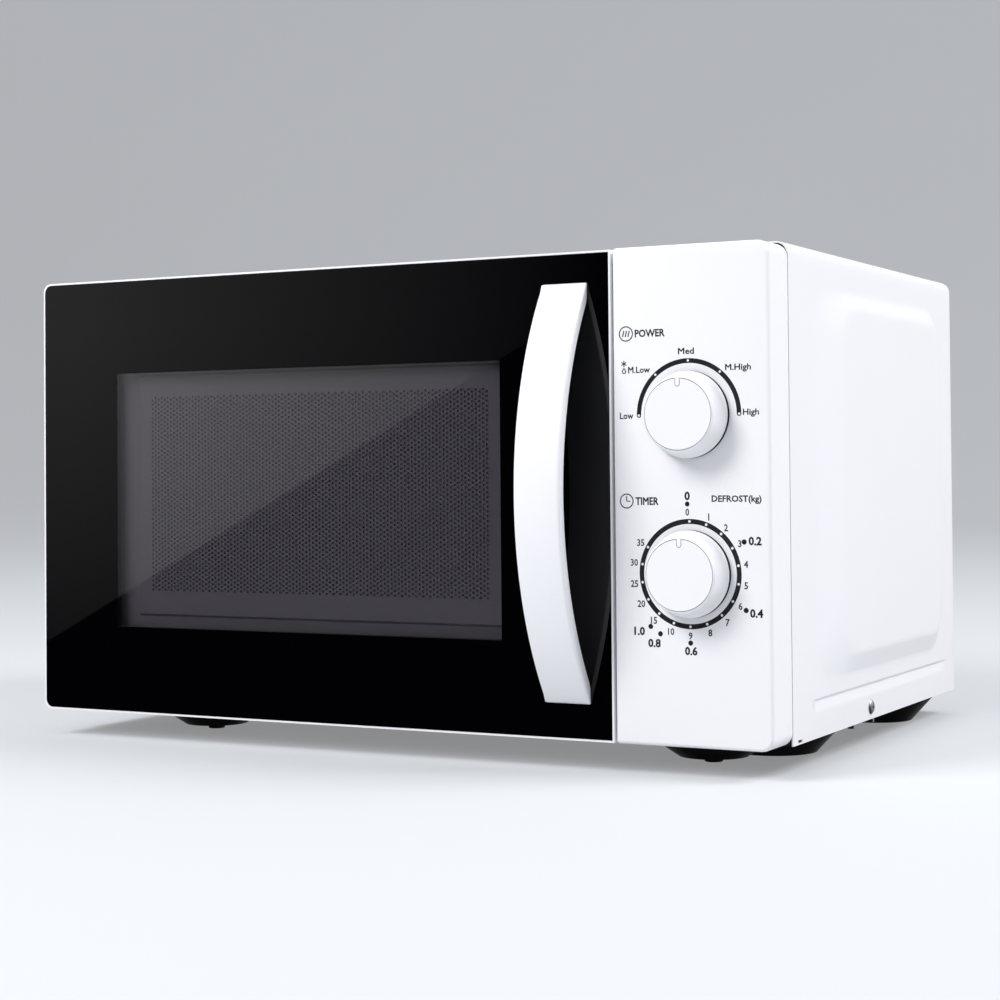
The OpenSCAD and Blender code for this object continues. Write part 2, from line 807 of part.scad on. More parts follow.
module control_panel() {
    r = 8.5;
    inner_r = r - panel_wall;
    lo = [panel_left, panel_z[0]];
    hi = [half_w, panel_z[1]];
    mid = panel_left + 20;
    color("white") place() difference() {
        along_y(0, panel_depth) {
            round_rect([mid, lo.y], hi, r);
            round_rect(lo, [mid + 20, hi.y], 1.5);
        }
        along_y(panel_wall, panel_depth + 1) {
            round_rect([mid, lo.y + panel_wall], [hi.x - panel_wall, hi.y - panel_wall], inner_r);
            translate([lo.x + panel_wall, lo.y + panel_wall])
                square([30, hi.y - lo.y - 2 * panel_wall]);
        }
        for (z = [power_z, timer_z]) rod_y([knob_x, -1, z], 4.5, 5);
    }
}

// A shaft with a flat on the end that carries the knob
module control_shaft(z) {
    front = -knob_out + 3.5;
    color("silver") place() difference() {
        rod_y([knob_x, front, z], shaft_r, 40);
        block([knob_x - 4, front - 1, z - 4], [knob_x + 4, -1, z - 1.7]);
    }
}

// A knob as a hollow cup with a hub; its pointer tab is cut free at the top of the face
module control_knob(z) {
    rim_y = 0.8;
    edge = 3.2;
    front_r = knob_face_r + 1.2;
    wall = 2;
    recess = 0.5;
    tab_w = 2;
    tab_len = 4;
    color("white") place() translate([knob_x, 0, z]) difference() {
        rotate([90, 0, 0]) difference() {
            rotate_extrude() polygon([
                [0, knob_out], [front_r - 1, knob_out], [front_r, knob_out - 0.5],
                [front_r + 0.7, knob_out - edge], [knob_r - 0.8, 3.5], [knob_r, rim_y],
                [knob_r - wall, rim_y], [knob_face_r - 0.5, knob_out - 3], [6, knob_out - 3],
                [6, 1], [0, 1]
            ]);
            // the face is a shallow recess with the pointer tab left standing
            difference() {
                translate([0, 0, knob_out - recess]) cylinder(r = knob_face_r, h = 1);
                block([-tab_w / 2, knob_face_r - tab_len, knob_out - 1],
                      [tab_w / 2, knob_face_r + 1, knob_out + 2]);
            }
        }
        // blind hole with a flat that fits the shaft
        difference() {
            rod_y([0, -knob_out + 3.4, 0], shaft_r + fit, knob_out);
            block([-4, -knob_out, -4], [4, 2, -1.7 - fit]);
        }
    }
}

module timer_unit() {
    half = 28;
    color("silver") place() difference() {
        union() {
            block([knob_x - half, 6, timer_z - half], [knob_x + half, 44, timer_z + half]);
            block([knob_x - 32, panel_wall, timer_z - 8], [knob_x + 32, 6, timer_z + 8]);
        }
        rod_y([knob_x, 0, timer_z], shaft_r + fit, 32);
    }
}

module timer_bell() {
    color("gold") place() translate([knob_x, 44, timer_z]) rotate([-90, 0, 0]) {
        cylinder(r = 2.5, h = 13);
        rotate_extrude() polygon([
            [0, 12], [0, 13], [12, 12], [18, 8.5], [20, 3], [19, 3], [17.2, 8], [11.6, 11]
        ]);
    }
}

module power_selector() {
    half = 23;
    color("silver") place() difference() {
        union() {
            block([knob_x - half, 6, power_z - half], [knob_x + half, 34, power_z + half]);
            block([knob_x - 32, panel_wall, power_z - 8], [knob_x + 32, 6, power_z + 8]);
        }
        rod_y([knob_x, 0, power_z], shaft_r + fit, 32);
    }
}

// ---- door ----

// A hinge arm that reaches out of the front plate, with its pin pointing into the door
module hinge(arm_z, pin_from, flange_z) {
    color("silver") place() {
        block([hinge_x - hinge_arm_r, hinge_y, arm_z],
              [hinge_x + hinge_arm_r, hinge_back, arm_z + hinge_arm_t]);
        rod_z([hinge_x, hinge_y, arm_z], hinge_arm_r, hinge_arm_t);
        rod_z([hinge_x, hinge_y, pin_from], pin_r, pin_len);
        block([hinge_x - 6.5, cover_front + sheet, flange_z[0]],
              [hinge_x + 26, hinge_back, flange_z[1]]);
    }
}

// The door's outline seen from the front, smaller by a margin
module door_outline(margin) {
    left = door_left + margin;
    right = door_right - margin;
    lo = door_z[0] + margin;
    hi = door_z[1] - margin;
    round_rect([left, lo], [left + 60, hi], door_corner_r - margin * 0.6);
    translate([left + 40, lo]) square([right - left - 40, hi - lo]);
}

// Trims whatever lies behind the hinge pins' line back to a round edge
module hinge_edge_cut() {
    difference() {
        block([door_left - 5, hinge_y, -5], [hinge_x, door_t + 5, 250]);
        rod_z([hinge_x, hinge_y, -6], swing_r, 260);
    }
}

// The room that the fixed hinge arms sweep while the door turns round them
module hinge_arm_room() {
    for (z = hinge_arm_z)
        block([door_left - 5, hinge_y - 8, z - 0.7], [hinge_x + 7, door_t + 5, z + hinge_arm_t + 0.7]);
}

module door_frame() {
    ledge = [14, 32, 12];                // width of the ledge: left, right, top and bottom
    boss_r = 6.2;
    color("white") place() difference() {
        union() {
            difference() {
                along_y(0.2, door_t) door_outline(0);
                along_y(-1, ledge_y[0]) door_outline(rim - 0.1);
                along_y(ledge_y[1], door_t + 1) door_outline(door_wall);
                along_y(-1, ledge_y[1] + 1)
                    round_rect([door_left + ledge[0], door_z[0] + ledge[2]],
                               [door_right - ledge[1], door_z[1] - ledge[2]], 6);
            }
            // hinge bosses under the upper arm and over the lower arm
            rod_z([hinge_x, hinge_y, hinge_arm_z[0] + hinge_arm_t + 0.8], boss_r, 20);
            rod_z([hinge_x, hinge_y, hinge_arm_z[1] - 0.8 - 20], boss_r, 20);
            for (z = [hinge_arm_z[0] + hinge_arm_t + 0.8, hinge_arm_z[1] - 20.8])
                block([hinge_x - 6, ledge_y[1] - 0.2, z], [hinge_x + 3, hinge_y, z + 20]);
            // guides on both sides of the latch bar
            for (z = [100, 150], x = [latch_x[0] - 2.3, latch_x[1] + 0.3])
                block([x, ledge_y[1] - 0.2, z], [x + 2, 19, z + 14]);
            // post that the latch spring hangs on
            block([latch_x[0] + 1, ledge_y[1] - 0.2, 38], [latch_x[1] - 1, 18, 41]);
        }
        hinge_edge_cut();
        hinge_arm_room();
        rod_z([hinge_x, hinge_y, 10], pin_r + fit, 28);
        rod_z([hinge_x, hinge_y, 205], pin_r + fit, 28);
        for (s = [-1, 1]) rod_y([handle_x, 0, handle_z + s * handle_boss_z], boss_hole_r, 10);
    }
}

module door_glass() {
    color([0.05, 0.05, 0.06]) place() difference() {
        along_y(0, glass_t) door_outline(rim);
        for (s = [-1, 1]) rod_y([handle_x, -1, handle_z + s * handle_boss_z], boss_hole_r, 6);
    }
}

module door_screen() {
    slot_pitch = 18;
    rim_w = 15;
    lo = screen_lo;
    hi = screen_hi;
    color("gray") place() difference() {
        block([lo.x, screen_y, lo.y], [hi.x, choke_y + sheet, hi.y]);
        // hollow of the channel and of the window
        block([lo.x + sheet, screen_y + sheet, lo.y + sheet], [hi.x - sheet, choke_y, hi.y - sheet]);
        block([lo.x + rim_w, choke_y - 1, lo.y + rim_w], [hi.x - rim_w, choke_y + 2, hi.y - rim_w]);
        // comb of slots round the channel
        for (x = [lo.x + 20 : slot_pitch : hi.x - 20], z = [lo.y + 3, hi.y - rim_w - 1])
            block([x, choke_y - 1, z], [x + 3, choke_y + 2, z + 13]);
        for (z = [lo.y + 20 : slot_pitch : hi.y - 20], x = [lo.x + 3, hi.x - rim_w - 1])
            block([x, choke_y - 1, z], [x + 13, choke_y + 2, z + 3]);
    }
}

module inner_window() {
    color("lightblue", 0.3) place()
        block([-176, screen_y + sheet, 40], [88, screen_y + sheet + 1, 202]);
}

module choke_cover() {
    y = [choke_y + sheet + 0.4, choke_y + sheet + 2.6];
    hinge_gap = hinge_x + 8;
    color([0.15, 0.15, 0.16]) place() difference() {
        along_y(y[0], y[1]) door_outline(door_wall + 0.3);
        along_y(y[0] - 1, y[1] + 1) round_rect([-180, 36], [92, 206], 8);
        hook_slots(y[0] - 1, 5);
        for (z = [-1, hinge_arm_z[1] - 22])
            block([door_left, y[0] - 1, z], [hinge_gap, y[1] + 1, z + 40]);
        hinge_edge_cut();
    }
}

module door_handle() {
    inner_r = handle_r - handle_t;
    arc_y = handle_r - handle_out;       // the bow's centre lies this far behind the glass
    color("white") place() difference() {
        union() {
            intersection() {
                translate([handle_x - handle_w / 2, arc_y, handle_z]) difference() {
                    rod_x([0, 0, 0], handle_r, handle_w, $fn = 180);
                    rod_x([-1, 0, 0], inner_r, handle_w + 2, $fn = 180);
                }
                block([handle_x - 20, -50, handle_z - handle_end_z],
                      [handle_x + 20, 0, handle_z + handle_end_z]);
            }
            for (s = [-1, 1]) rod_y([handle_x, -0.5, handle_z + s * handle_boss_z], 4.5, 5.9);
        }
        for (s = [-1, 1]) rod_y([handle_x, -3, handle_z + s * handle_boss_z], 1.75, 12);
    }
}

module handle_screws() {
    color("silver") place()
        for (s = [-1, 1])
            translate([handle_x, ledge_y[1], handle_z + s * handle_boss_z]) rotate([-90, 0, 0])
                pan_screw(5.2, 1.3, 1.7, 8);
}

module latch_hook() {
    bar_y = [12, 18];
    bar_z = [62, 204];
    color("white") place() {
        block([latch_x[0], bar_y[0], bar_z[0]], [latch_x[1], bar_y[1], bar_z[1]]);
        for (z = hook_z) {
            block([latch_x[0], bar_y[1] - 1, z], [latch_x[1], hook_tip_y, z + hook_h]);
            block([latch_x[0], hook_tip_y - 5.5, z - hook_drop], [latch_x[1], hook_tip_y, z + 1]);
        }
    }
}

// A coil as a tube swept along a helix about Z
module coil(radius, wire_r, height, turns) {
    steps = 12;
    sides = 6;
    count = turns * steps;
    rings = [for (i = [0 : count]) [for (j = [0 : sides - 1])
        let (turn = 360 * i / steps, side = 360 * j / sides, reach = radius + wire_r * cos(side))
            [reach * cos(turn), reach * sin(turn), height * i / count + wire_r * sin(side)]]];
    skin = [for (i = [0 : count - 1], j = [0 : sides - 1])
        let (k = (j + 1) % sides)
            [i * sides + j, i * sides + k, (i + 1) * sides + k, (i + 1) * sides + j]];
    ends = [[for (j = [0 : sides - 1]) sides - 1 - j], [for (j = [0 : sides - 1]) count * sides + j]];
    polyhedron([for (r = rings, p = r) p], concat([for (f = skin) [f[3], f[2], f[1], f[0]]],
        [for (f = ends) [for (n = [sides - 1 : -1 : 0]) f[n]]]), convexity = 10);
}

module latch_spring() {
    low = 42;
    color("silver") place() translate([(latch_x[0] + latch_x[1]) / 2, 15, low + 0.5])
        coil(2.6, 0.4, 18.4, 9);
}

cabinet_cover();
base_plate();
back_plate();
front_feet();
cabinet_screws();
front_plate();
cavity_box();
waveguide();
waveguide_cover();
interlock_bracket();
lock_switch(plungers_at[0]);  // primary_switch
lock_switch(plungers_at[1]);  // secondary_switch
lock_switch(plungers_at[2]);  // monitor_switch
lock_plunger(plungers_at[0]);  // primary_plunger
lock_plunger(plungers_at[1]);  // secondary_plunger
lock_plunger(plungers_at[2]);  // monitor_plunger
magnetron_yoke();
magnetron_core();
magnetron_filter_box();
thermal_cutout();
transformer_core();
transformer_windings();
chassis_screws();
capacitor();
capacitor_clamp();
high_voltage_diode();
noise_filter_board();
cord_gland();
fan_shroud();
fan_motor();
fan_rotor();
fan_blade();
oven_lamp();
lamp_holder();
turntable_motor();
turntable_coupler();
glass_tray();
roller_ring();
roller(0);  // roller_1
roller(120);  // roller_2
roller(240);  // roller_3
control_panel();
timer_unit();
timer_bell();
control_shaft(timer_z);  // timer_shaft
control_knob(timer_z);  // timer_knob
power_selector();
control_shaft(power_z);  // power_shaft
control_knob(power_z);  // power_knob
hinge(hinge_arm_z[1], hinge_arm_z[1] - pin_len + 1, [222.5, 240]);  // upper_hinge
hinge(hinge_arm_z[0], hinge_arm_z[0] + hinge_arm_t - 1, [13, 20.5]);  // lower_hinge
door_frame();
door_glass();
door_screen();
inner_window();
choke_cover();
door_handle();
handle_screws();
latch_hook();
latch_spring();
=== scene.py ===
"""A countertop microwave oven with a glass door and two rotary controls, finished for show.

Places inside the script are in millimetres from the glass face (y = 0) and the cabinet's lower
edge (z = 0), with x from the middle; at() turns them into the shared frame in metres.
"""
import bpy
import bmesh
import json
import math
from mathutils import Matrix, Vector


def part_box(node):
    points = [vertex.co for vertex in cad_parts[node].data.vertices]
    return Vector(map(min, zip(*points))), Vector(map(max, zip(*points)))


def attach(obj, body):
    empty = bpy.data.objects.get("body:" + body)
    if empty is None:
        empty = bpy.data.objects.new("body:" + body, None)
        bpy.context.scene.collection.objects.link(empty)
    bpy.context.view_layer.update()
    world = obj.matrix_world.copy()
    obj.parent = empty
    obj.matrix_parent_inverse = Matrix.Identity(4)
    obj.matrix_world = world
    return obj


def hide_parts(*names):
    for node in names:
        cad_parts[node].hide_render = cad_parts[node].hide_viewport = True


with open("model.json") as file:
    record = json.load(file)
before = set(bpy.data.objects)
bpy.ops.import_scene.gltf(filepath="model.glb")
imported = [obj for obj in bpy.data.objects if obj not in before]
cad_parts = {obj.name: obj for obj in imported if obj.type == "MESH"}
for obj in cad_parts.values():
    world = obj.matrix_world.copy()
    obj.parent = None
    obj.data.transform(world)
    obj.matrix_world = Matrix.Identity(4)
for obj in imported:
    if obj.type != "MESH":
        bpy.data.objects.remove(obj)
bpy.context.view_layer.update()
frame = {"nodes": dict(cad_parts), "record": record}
record = frame["record"]
FINISH_OF = {s["node"]: s["material_slot"] for s in record["subparts"]}
BODY_OF = {n: body for body, names in record["behaviour"]["bodies"].items() for n in names}

MM = 0.001
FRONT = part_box("door_glass")[0].y
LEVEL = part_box("cabinet_cover")[0].z


def at(x, y, z):
    return Vector((x * MM, FRONT + y * MM, LEVEL + z * MM))


# ---------------------------------------------------------------- mesh making


def show(name, data):
    """Puts a mesh, curve, lamp or camera in the scene."""
    piece = bpy.data.objects.new(name, data)
    bpy.context.scene.collection.objects.link(piece)
    return piece


def mend(piece, turn_out=True, gap=1e-6):
    """Merges doubled points and, on a closed shape, turns every face outwards."""
    bm = bmesh.new()
    bm.from_mesh(piece.data)
    bmesh.ops.remove_doubles(bm, verts=bm.verts, dist=gap)
    bmesh.ops.dissolve_degenerate(bm, edges=bm.edges, dist=gap)
    if turn_out:
        bmesh.ops.recalc_face_normals(bm, faces=bm.faces)
    bm.to_mesh(piece.data)
    bm.free()
    return piece


def from_lists(name, points, faces, turn_out=True):
    """A piece from points in millimetres and lists of their numbers."""
    mesh = bpy.data.meshes.new(name)
    mesh.from_pydata([at(*p) for p in points], [], faces)
    return mend(show(name, mesh), turn_out)


def as_mesh(piece):
    """What a piece and its modifiers look like, as a plain mesh."""
    seen = piece.evaluated_get(bpy.context.evaluated_depsgraph_get())
    return bpy.data.meshes.new_from_object(seen)


def bake(piece):
    """Turns a piece and its modifiers into one plain mesh."""
    mesh = as_mesh(piece)
    piece.modifiers.clear()
    piece.data = mesh
    return piece


def smooth(piece, angle=35):
    """Smooth shading that keeps the edges sharper than the angle."""
    mesh = piece.data
    mesh.polygons.foreach_set("use_smooth", [True] * len(mesh.polygons))
    mesh.set_sharp_from_angle(angle=math.radians(angle))
    return piece


def soften(piece, width, segments=2):
    """Rounds the sharp edges by a width in millimetres and keeps the flats flat."""
    sharp = 30
    smooth(piece, sharp)
    edge = piece.modifiers.new("edge", "BEVEL")
    edge.width = width * MM
    edge.segments = segments
    edge.limit_method = "ANGLE"
    edge.angle_limit = math.radians(sharp)
    edge.harden_normals = True
    return bake(piece)


def cut(piece, *tools):
    """Takes the tools' solids out of the piece."""
    for tool in tools:
        boolean = piece.modifiers.new("cut", "BOOLEAN")
        boolean.operation = "DIFFERENCE"
        boolean.solver = "EXACT"
        boolean.object = tool
    bake(piece)
    for tool in tools:
        bpy.data.objects.remove(tool)
    return piece


def join(name, pieces):
    """Several plain meshes as one, each with its own materials kept."""
    bm = bmesh.new()
    materials = []
    for piece in pieces:
        start = len(bm.faces)
        bm.from_mesh(piece.data)
        bm.faces.ensure_lookup_table()
        places = {}
        for i, material in enumerate(piece.data.materials):
            if material not in materials:
                materials.append(material)
            places[i] = materials.index(material)
        for face in bm.faces[start:]:
            face.material_index = places.get(face.material_index, 0)
    mesh = bpy.data.meshes.new(name)
    bm.to_mesh(mesh)
    bm.free()
    for material in materials:
        mesh.materials.append(material)
    for piece in pieces:
        bpy.data.objects.remove(piece)
    return show(name, mesh)


def arc(cx, cy, r, start, end, steps):
    """Points along an arc, from a start to an end angle in degrees."""
    turn = [math.radians(start + (end - start) * i / steps) for i in range(steps + 1)]
    return [(cx + r * math.cos(t), cy + r * math.sin(t)) for t in turn]


def rounded(lo, hi, radii, steps=8):
    """A rectangle's outline, counterclockwise from the lower left corner, with a radius at each."""
    (x0, z0), (x1, z1) = lo, hi
    a, b, c, d = radii
    return (arc(x0 + a, z0 + a, a, 180, 270, steps) + arc(x1 - b, z0 + b, b, 270, 360, steps)
            + arc(x1 - c, z1 - c, c, 0, 90, steps) + arc(x0 + d, z1 - d, d, 90, 180, steps))


def lofted(name, rings):
    """A closed skin over rings of points, capped at both ends."""
    n = len(rings[0])
    points = [p for ring in rings for p in ring]
    faces = [[r * n + i, r * n + (i + 1) % n, (r + 1) * n + (i + 1) % n, (r + 1) * n + i]
             for r in range(len(rings) - 1) for i in range(n)]
    faces += [list(range(n)), list(range((len(rings) - 1) * n, len(rings) * n))]
    return from_lists(name, points, faces)


def slab(name, outline, y0, y1):
    """An outline in x and z made solid from y0 to y1."""
    return lofted(name, [[(x, y, z) for x, z in outline] for y in (y0, y1)])


def turned(name, profile, centre, steps=72):
    """A profile of (radius, place) pairs turned round a line along y through a centre in x and z."""
    rings = []
    for radius, place in profile:
        ring = []
        for i in range(steps):
            t = 2 * math.pi * i / steps
            u, v = max(radius, 1e-4) * math.cos(t), max(radius, 1e-4) * math.sin(t)
            ring.append((centre[0] + u, place, centre[1] + v))
        rings.append(ring)
    return mend(lofted(name, rings), gap=3e-7)


def block(name, lo, hi):
    """A plain solid between two corners, used as a cutting tool or joined into a piece."""
    return slab(name, [(lo[0], lo[2]), (hi[0], lo[2]), (hi[0], hi[2]), (lo[0], hi[2])], lo[1], hi[1])


def group_of(name, sizes):
    """An empty geometry node group with an input for each size, and those inputs' sockets."""
    tree = bpy.data.node_groups.new(name, "GeometryNodeTree")
    for way in ("OUTPUT", "INPUT"):
        tree.interface.new_socket("Geometry", in_out=way, socket_type="NodeSocketGeometry")
    sockets = {}
    for key, value in sizes.items():
        kind = "NodeSocketInt" if isinstance(value, int) else "NodeSocketFloat"
        sockets[key] = tree.interface.new_socket(key, in_out="INPUT", socket_type=kind)
        sockets[key].default_value = value
    return tree, sockets


def grown(piece, tree, sockets, sizes):
    """A piece as its node group makes it from these sizes."""
    modifier = piece.modifiers.new("grown", "NODES")
    modifier.node_group = tree
    for key, value in sizes.items():
        modifier[sockets[key].identifier] = value
    return bake(piece)


def copy_of(node, name):
    """A CAD node's shape as one clean mesh of its own, ready for softened edges."""
    piece = show(name, frame["nodes"][node].data.copy())
    bm = bmesh.new()
    bm.from_mesh(piece.data)
    bmesh.ops.remove_doubles(bm, verts=bm.verts, dist=2e-6)
    bmesh.ops.dissolve_limit(bm, angle_limit=math.radians(1), verts=bm.verts, edges=bm.edges)
    bm.to_mesh(piece.data)
    bm.free()
    piece.data.materials.clear()
    return piece


def finish(piece, node, *more, material=None, body=None, slot=None):
    """Gives a piece its body and finish and lets it stand for its CAD nodes."""
    slot = slot or FINISH_OF[node]
    if not piece.data.materials:
        piece.data.materials.append(material or FINISHES[slot])
    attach(piece, body or BODY_OF[node])
    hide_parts(node, *more)
    return piece


# ---------------------------------------------------------------- materials


def linear(hex_colour):
    """An sRGB hex colour as linear red, green, blue and alpha."""
    parts = [int(hex_colour[i:i + 2], 16) / 255 for i in (0, 2, 4)]
    return [c / 12.92 if c <= 0.04045 else ((c + 0.055) / 1.055) ** 2.4 for c in parts] + [1.0]


# settings of the two sums that come up most
TIMES, OVER = {"operation": "MULTIPLY"}, {"operation": "DIVIDE"}


def add(tree, kind, settings=(), inputs=()):
    """Adds a node with its settings and inputs.

    An input is a value, an output, a node that stands for its first output, or a tuple of these.
    """
    node = tree.nodes.new(kind)
    for key, value in dict(settings).items():
        setattr(node, key, value)
    for key, value in dict(inputs).items():
        sources = [source.outputs[0] if isinstance(source, bpy.types.Node) else source
                   for source in (value if isinstance(value, tuple) else (value,))]
        if isinstance(sources[0], bpy.types.NodeSocket):
            for source in sources:
                tree.links.new(source, node.inputs[key])
        else:
            node.inputs[key].default_value = value
    return node


def emptied(block):
    """The node tree of a new material or world, with nothing in it."""
    block.use_nodes = True
    block.node_tree.nodes.clear()
    return block.node_tree


def surface(name, colour, shader=(), tint=None, patch=60, rough=(0.3, 0.4), grain=1.0, depth=0.01,
            stretch=(1, 1, 1)):
    """A finish with slow changes of tint and gloss over patch mm and a relief of grain mm.

    stretch above 1 packs the relief closer along that axis, which draws brushing and rolling marks.
    """
    material = bpy.data.materials.new(name)
    tree = emptied(material)
    place = add(tree, "ShaderNodeTexCoord").outputs["Object"]
    slow = add(tree, "ShaderNodeTexNoise", inputs={"Vector": place, "Scale": 1000 / patch, "Detail": 1.0})
    mixed = add(tree, "ShaderNodeMix", {"data_type": "RGBA"},
                {0: slow.outputs["Fac"], 6: linear(colour), 7: linear(tint or colour)})
    gloss = add(tree, "ShaderNodeMapRange", {"interpolation_type": "SMOOTHSTEP"},
                {"Value": slow.outputs["Fac"], "From Min": 0.15, "From Max": 0.85, "To Min": rough[0],
                 "To Max": rough[1]})
    turned_place = add(tree, "ShaderNodeMapping", inputs={"Vector": place, "Scale": stretch})
    fine = add(tree, "ShaderNodeTexNoise",
               inputs={"Vector": turned_place, "Scale": 1000 / grain, "Detail": 2.0})
    relief = add(tree, "ShaderNodeBump",
                 inputs={"Height": fine.outputs["Fac"], "Strength": 1.0, "Distance": depth * MM})
    skin = add(tree, "ShaderNodeBsdfPrincipled",
               inputs={"Base Color": mixed.outputs[2], "Roughness": gloss, "Normal": relief,
                       **dict(shader)})
    add(tree, "ShaderNodeOutputMaterial", inputs={"Surface": skin})
    return material


# Steel sheet, dipped and baked with white enamel: a faint orange peel about 2.5 mm across.
enamel_white = surface("white_baked_enamel", "f1f1f5", {"IOR": 1.5, "Coat Weight": 0.15,
                       "Coat Roughness": 0.2}, "eeeef2", 90, (0.31, 0.35), 2.5, 0.010)
# The dark enamel on the floor pan: the same peel, but dull.
enamel_black = surface("black_baked_enamel", "141416", {"IOR": 1.5}, "1a1a1c", 70, (0.42, 0.55), 2.0, 0.015)
# Galvanised sheet: zinc crystals give patches of brighter and duller grey about 12 mm across.
zinc = surface("zinc_coated_sheet_steel", "a9adb0", {"Metallic": 1.0},
               "c3c7ca", 12, (0.28, 0.5), 1.2, 0.004)
# Light grey enamel fired on the cooking space: glossy, with a slight peel.
enamel_oven = surface("light_grey_fired_enamel", "d4d4d6", {"IOR": 1.5},
                      "cfcfd2", 80, (0.25, 0.33), 2.5, 0.012)
# Grey epoxy coat on the perforated screen: matt, with fine powder grain.
enamel_screen = surface("grey_epoxy_coated_steel", "b4afbb", {"IOR": 1.5},
                        "a9a4b1", 60, (0.5, 0.6), 0.8, 0.006)
# Injection moulded ABS: glossy, with a very fine spark texture and slow sink marks.
abs_white = surface("white_moulded_abs", "f3f3f6", {"IOR": 1.54}, "f1f1f5", 45, (0.27, 0.31), 0.7, 0.003)
# Acetal from the mould: slightly waxy white for sliding parts.
acetal = surface("white_moulded_acetal", "eeece6", {"IOR": 1.48, "Subsurface Weight": 0.05,
                 "Subsurface Scale": 0.002}, "e8e6df", 30, (0.3, 0.4), 0.6, 0.004)
# Black moulded plastic with a spark-eroded texture.
plastic_black = surface("black_moulded_polypropylene", "17171a", {"IOR": 1.49},
                        "1d1d20", 40, (0.4, 0.52), 0.5, 0.01)
# Grey moulded plastic of the fan blade and switches.
plastic_grey = surface("grey_moulded_plastic", "77797d", {"IOR": 1.49},
                       "6f7175", 40, (0.4, 0.5), 0.5, 0.008)
# Ivory glass-filled nylon: warm white with a dull grain.
plastic_ivory = surface("ivory_glass_filled_nylon", "d9d2bd", {"IOR": 1.53},
                        "d2cab4", 35, (0.45, 0.55), 0.5, 0.01)
# Red acetal plungers.
plastic_red = surface("red_moulded_acetal", "a8231d", {"IOR": 1.48}, "9c1f1a", 20, (0.3, 0.4), 0.5, 0.005)
# Phenolic paper board with a woven show-through.
board = surface("phenolic_circuit_board", "6d5a2c", {"IOR": 1.55}, "5c4d26", 15, (0.4, 0.5), 0.8, 0.01)
# Pressed mica sheet: flakes about 4 mm across.
mica = surface("pressed_mica_sheet", "b3a284", {"IOR": 1.58}, "9c8b6d", 4, (0.3, 0.55), 2.0, 0.02)
# Moulded rubber feet: deep matt black.
rubber = surface("black_moulded_rubber", "0b0b0c", {"IOR": 1.52}, "0e0e0f", 20, (0.6, 0.7), 0.6, 0.02)
# Aluminium from the press, with lines drawn along x.
aluminium = surface("pressed_aluminium", "c8cacc", {"Metallic": 1.0},
                    "bfc1c4", 30, (0.25, 0.38), 3.0, 0.004, (1, 8, 8))
# Varnished stack of laminations, 0.5 mm each, drawn as ridges along y.
laminations = surface("varnished_lamination_steel", "4c4846", {"Metallic": 0.7},
                      "3d3a38", 25, (0.35, 0.5), 4.0, 0.12, (0.2, 8, 0.2))
# Enamelled copper winding wire, laid in rows.
copper = surface("enamelled_copper_wire", "a5542a", {"Metallic": 0.9},
                 "8c4522", 15, (0.25, 0.35), 4.0, 0.25, (0.3, 0.3, 6))
# Bell bronze, turned.
bell_bronze = surface("turned_bell_bronze", "a98248", {"Metallic": 1.0},
                      "9c7740", 20, (0.2, 0.3), 2.0, 0.003)
# Spring wire with a dull drawn skin.
spring_wire = surface("drawn_spring_steel", "8d8f92", {"Metallic": 1.0},
                      "808285", 10, (0.25, 0.35), 1.0, 0.004)
# Black ceramic ink fired on the back of float glass: what shows is the glass's own mirror-flat face.
glass_black = surface("black_printed_float_glass", "020203", {"IOR": 1.52},
                      "020204", 200, (0.012, 0.02), 60, 0.0006)
# Pressed soda-lime glass of the tray, a touch green at its edge.
glass_tray_skin = surface("pressed_soda_lime_glass", "dfeae6", {"IOR": 1.52, "Transmission Weight": 0.92},
                          "d8e6e1", 80, (0.02, 0.05), 9, 0.01)
# Clear polyester film behind the perforated screen.
film = surface("clear_polyester_film", "26272a", {"IOR": 1.57, "Alpha": 0.12},
               "222326", 60, (0.12, 0.2), 30, 0.02)
# The unprinted part of the door glass: tinted, so a little over half the light passes. Its gloss
# stands for all the mirror faces behind each other there, and is higher than one face of glass has.
glass_clear = surface("clear_float_glass", "0a0a0c", {"IOR": 2.1, "Alpha": 0.43, "Specular IOR Level": 1.0,
                      "Coat Weight": 1.0, "Coat Roughness": 0.02},
                      "0b0b0d", 200, (0.012, 0.02), 60, 0.0006)
# Screen-printed dark grey ink on the panel, slightly raised and matt. It also paints the shadow rings under
# the knobs' rims.
ink_dark_and_painted_shadow = surface("dark_printed_ink_and_painted_shadow", "1c1c1f", {"IOR": 1.5}, "222226", 10, (0.45, 0.55), 0.3, 0.01)
# White ink dots on the dark rings.
ink_white = surface("white_screen_printed_ink", "ededf0", {"IOR": 1.5},
                    "e6e6ea", 10, (0.45, 0.55), 0.3, 0.01)

FINISHES = {
    "white_enamel": enamel_white, "black_enamel": enamel_black, "zinc_steel": zinc,
    "oven_enamel": enamel_oven, "screen_enamel": enamel_screen, "white_abs": abs_white,
    "white_acetal": acetal, "black_plastic": plastic_black, "grey_plastic": plastic_grey,
    "ivory_plastic": plastic_ivory, "red_plastic": plastic_red, "circuit_board": board,
    "mica": mica, "foot_rubber": rubber, "black_glass": glass_black, "clear_glass": glass_tray_skin,
    "clear_film": film, "aluminium": aluminium, "lamination_steel": laminations,
    "copper_wire": copper, "bell_metal": bell_bronze, "spring_steel": spring_wire,
}
for node_name, node_object in frame["nodes"].items():
    node_object.data.materials.clear()
    node_object.data.materials.append(FINISHES[FINISH_OF[node_name]])

# ---------------------------------------------------------------- cabinet cover

HALF, TOP, REAR = 220.0, 243.5, 310.0
COVER_FRONT, FOLD, SHEET = 26.0, 6.0, 0.8
# the side's raised panel: where it leaves the side and where it is flat again, as corners and radius
PRESS_FOOT = (60, 27), (276, 225), 22
PRESS_FACE = (100, 38), (270, 214), 18
PRESS_RISE = 3.5
